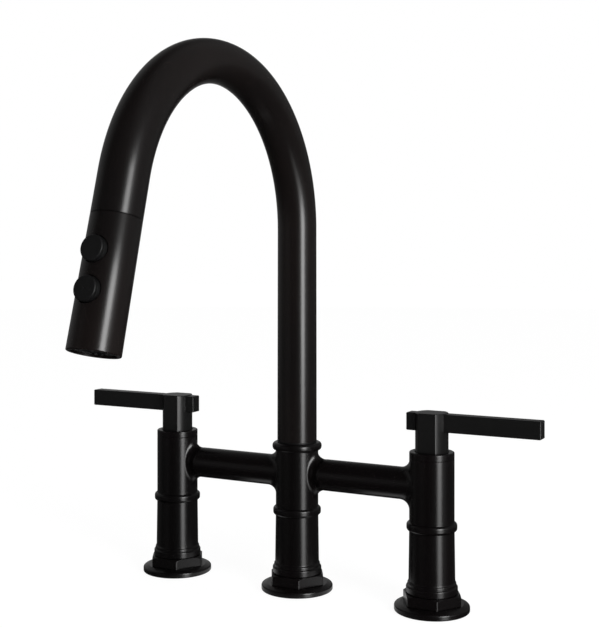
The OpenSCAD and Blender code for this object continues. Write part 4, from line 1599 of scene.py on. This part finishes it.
@dataclass
class Studio:
    """Camera, lamp, white ground and dark tent.

    The floor and the world are white to the camera and to reflections. The photograph's faucet stood in a
    dark room and was cut out onto white, so its coat mirrors darkness: a tent that only reflections see hangs
    round the set, with a few faint glows on it and a glossy bottom a hair above the floor.

    Args:
        camera_at: The camera's place.
        camera_turn: Turn of the level camera about the vertical, in degrees.
        lens: Its focal length in millimetres.
        sensor: Width of its sensor in millimetres.
        shift: Its shift, which sets the framing.
        clip: The nearest and the furthest that it sees.
        floor_half: Half of the floor's width.
        floor_greys: The two greys of its clouds.
        floor_clouds: Its clouds a metre.
        floor_rough: Its roughness.
        daylight: Light of the world on all that isn't a reflection.
        shade_share: How much of the floor's own shading shows, which keeps the object's shadow.
        floor_white: Strength of the rest, at which the lit floor as a whole is as white as the world.
        tent_r: The tent's radius.
        tent_gap: Height of its bottom over the floor.
        tent_rows: Rows of the tent's dome.
        tent_around: Columns of the tent's dome.
        tent_pole: Polar angle of the dome's first row, which a disc closes.
        glows: For each glow, its azimuth and elevation in degrees, the cosines of its outer and inner edge,
            and its brightness.
        bottom_greys: The two near blacks of the bottom's smears.
        bottom_rough: Its roughness without a smear, and how much a full one adds.
        smears: Smears a metre.
        sheen: Brightness of the patch of the bottom between the feet, which the legs' collars mirror.
        sheen_half: Half of that patch's width, and half of its depth.
        strip_at: Where the lamp hangs.
        strip_target: What it faces.
        strip_size: Its width and height.
        strip_radiance: How bright its face is, where 1 is white.
    """

    camera_at: tuple[float, float, float] = (0.37760, -0.70720, 0.23871)
    camera_turn: float = 28.10
    lens: float = 64.97
    sensor: float = 36.0
    shift: tuple[float, float] = (0.0039, -0.1007)
    clip: tuple[float, float] = (0.01, 50.0)
    floor_half: float = 6.0
    floor_greys: tuple[float, float] = (0.93, 0.95)
    floor_clouds: float = 3.0
    floor_rough: float = 0.9
    daylight: float = 0.5
    shade_share: float = 0.2
    floor_white: float = 1.13
    tent_r: float = 4.0
    tent_gap: float = 0.0003
    tent_rows: int = 16
    tent_around: int = 64
    tent_pole: float = 0.02
    glows: tuple[tuple[float, ...], ...] = (
        (120.0, 35.0, 0.35, 0.75, 0.11), (-108.0, 10.0, 0.45, 0.92, 0.18), (-32.0, 4.0, 0.90, 0.985, 0.12),
        (208.0, 12.0, 0.88, 0.98, 0.16), (84.0, 8.0, 0.955, 0.995, 0.4))
    bottom_greys: tuple[float, float] = (0.002, 0.003)
    bottom_rough: tuple[float, float] = (0.08, 0.04)
    smears: float = 5.0
    sheen: float = 0.7
    sheen_half: tuple[float, float] = (0.11, 0.035)
    strip_at: tuple[float, float, float] = (1.166, -0.604, 0.39)
    strip_target: tuple[float, float, float] = (0.0, 0.0, 0.30)
    strip_size: tuple[float, float] = (0.44, 0.78)
    strip_radiance: float = 10.6

    def camera(self) -> None:
        """A level camera at the photograph's viewpoint."""
        data = bpy.data.cameras.new("camera")
        data.lens, data.sensor_width = self.lens, self.sensor
        data.shift_x, data.shift_y = self.shift
        data.clip_start, data.clip_end = self.clip
        obj = bpy.data.objects.new("camera", data)
        obj.location = self.camera_at
        obj.rotation_euler = (QUARTER, 0.0, math.radians(self.camera_turn))
        bpy.context.scene.collection.objects.link(obj)
        bpy.context.scene.camera = obj

    def lamp(self) -> None:
        """A tall rectangular softbox on the right."""
        data = bpy.data.lights.new("strip_right", "AREA")
        data.shape, data.size, data.size_y = "RECTANGLE", *self.strip_size
        data.energy = self.strip_radiance * math.pi * self.strip_size[0] * self.strip_size[1]
        obj = bpy.data.objects.new("strip_right", data)
        way = np.array(self.strip_target) - np.array(self.strip_at)
        obj.location = self.strip_at
        tilt, turn = math.atan2(math.hypot(way[0], way[1]), -way[2]), math.atan2(-way[0], way[1])
        obj.rotation_euler = (tilt, 0.0, turn)
        bpy.context.scene.collection.objects.link(obj)

    def world(self) -> None:
        """White to what shows the background, daylight to everything else."""
        world = bpy.data.worlds.new("studio")
        world.use_nodes = True
        graph = Graph(world.node_tree)
        white, dim = (graph.glow("ShaderNodeBackground", strength) for strength in (1.0, self.daylight))
        mix = graph.node("ShaderNodeMixShader", {}, {0: graph.shown(), 1: dim, 2: white})
        graph.node("ShaderNodeOutputWorld", {}, {"Surface": mix.outputs[0]})
        bpy.context.scene.world = world

    def stage(self, name: str, points: Array, faces: Sequence[Sequence[int]], look: Surface
              ) -> bpy.types.Object:
        """Adds a mesh that isn't part of the object.

        Args:
            name: Its name.
            points: Its vertices.
            faces: Its faces, as the vertices' numbers.
            look: Its material.

        Returns:
            The new object.
        """
        mesh = bpy.data.meshes.new(name)
        mesh.from_pydata(points.tolist(), [], faces)
        mesh.materials.append(look.material)
        obj = bpy.data.objects.new(name, mesh)
        bpy.context.scene.collection.objects.link(obj)
        return obj

    def floor(self) -> None:
        """A pale floor, white to what shows the background apart from a share of its own shading."""
        look = Surface("pale_floor")
        dull, pale = ((grey, grey, grey) for grey in self.floor_greys)
        look.paint(look.mix(look.noise(self.floor_clouds), dull, pale), self.floor_rough)
        white = look.glow("ShaderNodeEmission", self.floor_white)
        share = look.shown() * (1.0 - self.shade_share)
        mix = look.node("ShaderNodeMixShader", {}, {0: share, 1: look.shader.outputs[0], 2: white})
        look.feed(look.output.inputs["Surface"], mix.outputs[0])
        h = self.floor_half
        corners = np.array([(-h, -h, 0.0), (h, -h, 0.0), (h, h, 0.0), (-h, h, 0.0)])
        self.stage("floor", corners, [(0, 1, 2, 3)], look)

    def _cloth(self) -> Surface:
        """Makes the dome's material.

        Returns:
            Black, with each glow a spot round its own direction d: 3t^2 - 2t^3, t how far the cosine to d has
            gone from the glow's outer edge to its inner one.
        """
        look = Surface("tent_cloth")
        parts = [part * (1.0 / self.tent_r) for part in look.split()]
        level: Value | float = 0.0
        for azimuth, elevation, outer, inner, bright in self.glows:
            a, e = math.radians(azimuth), math.radians(elevation)
            way = (math.sin(a) * math.cos(e), -math.cos(a) * math.cos(e), math.sin(e))
            near = parts[0] * way[0] + parts[1] * way[1] + parts[2] * way[2]
            t = ((near - outer) * (1.0 / (inner - outer))).clamped()
            level = t * t * (3.0 - t * 2.0) * bright + level
        cloth = look.node("ShaderNodeEmission", {}, {"Color": look.mix(level, BLACK, WHITE)})
        look.feed(look.output.inputs["Surface"], cloth.outputs[0])
        return look

    def _gloss(self) -> Surface:
        """Makes the bottom's material.

        Returns:
            Glossy black, with a soft-edged patch of light between the feet.
        """
        gloss = Surface("black_acrylic")
        smears = gloss.noise(self.smears, detail=3.0)
        clean, smeared = ((grey, grey, grey) for grey in self.bottom_greys)
        rough, added = self.bottom_rough
        gloss.paint(gloss.mix(smears, clean, smeared), rough + smears * added, Emission_Strength=1.0)
        x, y, _ = gloss.split()
        wide, deep = self.sheen_half
        sheen = ((wide - abs(x)) * (1.0 / deep)).clamped() * ((deep - abs(y)) * (1.0 / deep)).clamped()
        gloss.feed(gloss.shader.inputs["Emission Color"], gloss.mix(sheen * self.sheen, BLACK, WHITE))
        return gloss

    def tent(self) -> None:
        """A dome and its bottom: (R sin a sin b, -R cos a sin b, R cos b), azimuth a and polar angle b."""
        around, rows = self.tent_around, self.tent_rows
        a = full_turn(around)[None, :]
        b = np.linspace(self.tent_pole, QUARTER, rows)[:, None]
        dome = about_z(np.sin(b), a - QUARTER, np.cos(b))
        points = dome.reshape(-1, 3) * self.tent_r + np.array([0.0, 0.0, self.tent_gap])
        i, j = np.meshgrid(np.arange(rows - 1) * around, np.arange(around), indexing="ij")
        k = (j + 1) % around
        quads = np.stack([i + j, i + k, i + around + k, i + around + j], axis=-1)
        disc = [list(range(around))]
        tent = self.stage("dark_tent", points, quads.reshape(-1, 4).tolist() + disc, self._cloth())
        bottom = self.stage("tent_bottom", points[-around:], disc, self._gloss())
        for obj in (tent, bottom):
            obj.visible_camera = obj.visible_diffuse = obj.visible_transmission = False
            obj.visible_shadow = obj.visible_volume_scatter = False

    def build(self) -> None:
        """Sets up the whole studio."""
        bpy.context.scene.view_settings.view_transform = "Standard"
        self.camera()
        self.world()
        self.floor()
        self.tent()
        self.lamp()


@dataclass
class CadLooks:
    """Finishes of the CAD nodes that keep their own solids."""

    finishes: tuple[tuple[Finish, tuple[str, ...]], ...] = (
        (RUBBER, ("deck_gaskets", "seat_seals", "journal_o_rings", "nozzle_mat")),
        (BRASS, ("left_cartridge", "right_cartridge", "centre_core", "downpipe", "spout_journal", "hose_nut",
                 "left_stem", "right_stem")),
        (BLACK_PLASTIC, ("glide_ring", "dock_neck", "spray_core", "spray_face")),
        (STEEL, ("retaining_screw", "hose_coupling", "left_set_screw", "right_set_screw")),
        (NYLON, ("dock_sleeve", "check_valve", "upper_spool", "lower_spool")),
        (BLACK_NYLON, ("aerator",)),
        (CERAMIC, ("left_valve_disc", "right_valve_disc")),
    )

    def dress(self, nodes: dict[str, bpy.types.Object]) -> None:
        """Puts each finish into the material slot of its nodes.

        Args:
            nodes: The CAD objects by name.
        """
        for finish, names in self.finishes:
            for name in names:
                nodes[name].data.materials.clear()
                nodes[name].data.materials.append(finish.material())
                LOG.info("%s keeps its CAD solid, %s", name, finish.name)


def main() -> None:
    """Builds the studio and every sub-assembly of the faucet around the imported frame."""
    logging.basicConfig(level=logging.INFO, format="%(message)s")
    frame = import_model()
    Studio().build()
    layout = Layout()
    for side in Side:
        Pedestal(layout, side).build()
        Tee(layout, side).build()
    for side in (Side.LEFT, Side.RIGHT):
        Shank(layout, side, crest=10.45, bore=8.0, pitch=1.814).build()
    Shank(layout, Side.CENTRE, crest=14.0, bore=12.4, pitch=1.5, depth=0.6).build()
    Bridge(layout).build()
    for side in (Side.LEFT, Side.RIGHT):
        Bonnet(layout, side).build()
        Lever(layout, side).build()
    neck = Gooseneck()
    neck.build()
    head = SprayHead(neck)
    head.shell()
    for label, at in zip(("upper", "lower"), head.buttons_at, strict=True):
        Button(neck, label, at, dimple=label == "lower").build()
    CadLooks().dress(frame["nodes"])
    bpy.context.view_layer.update()


if __name__ == "__main__":
    main()
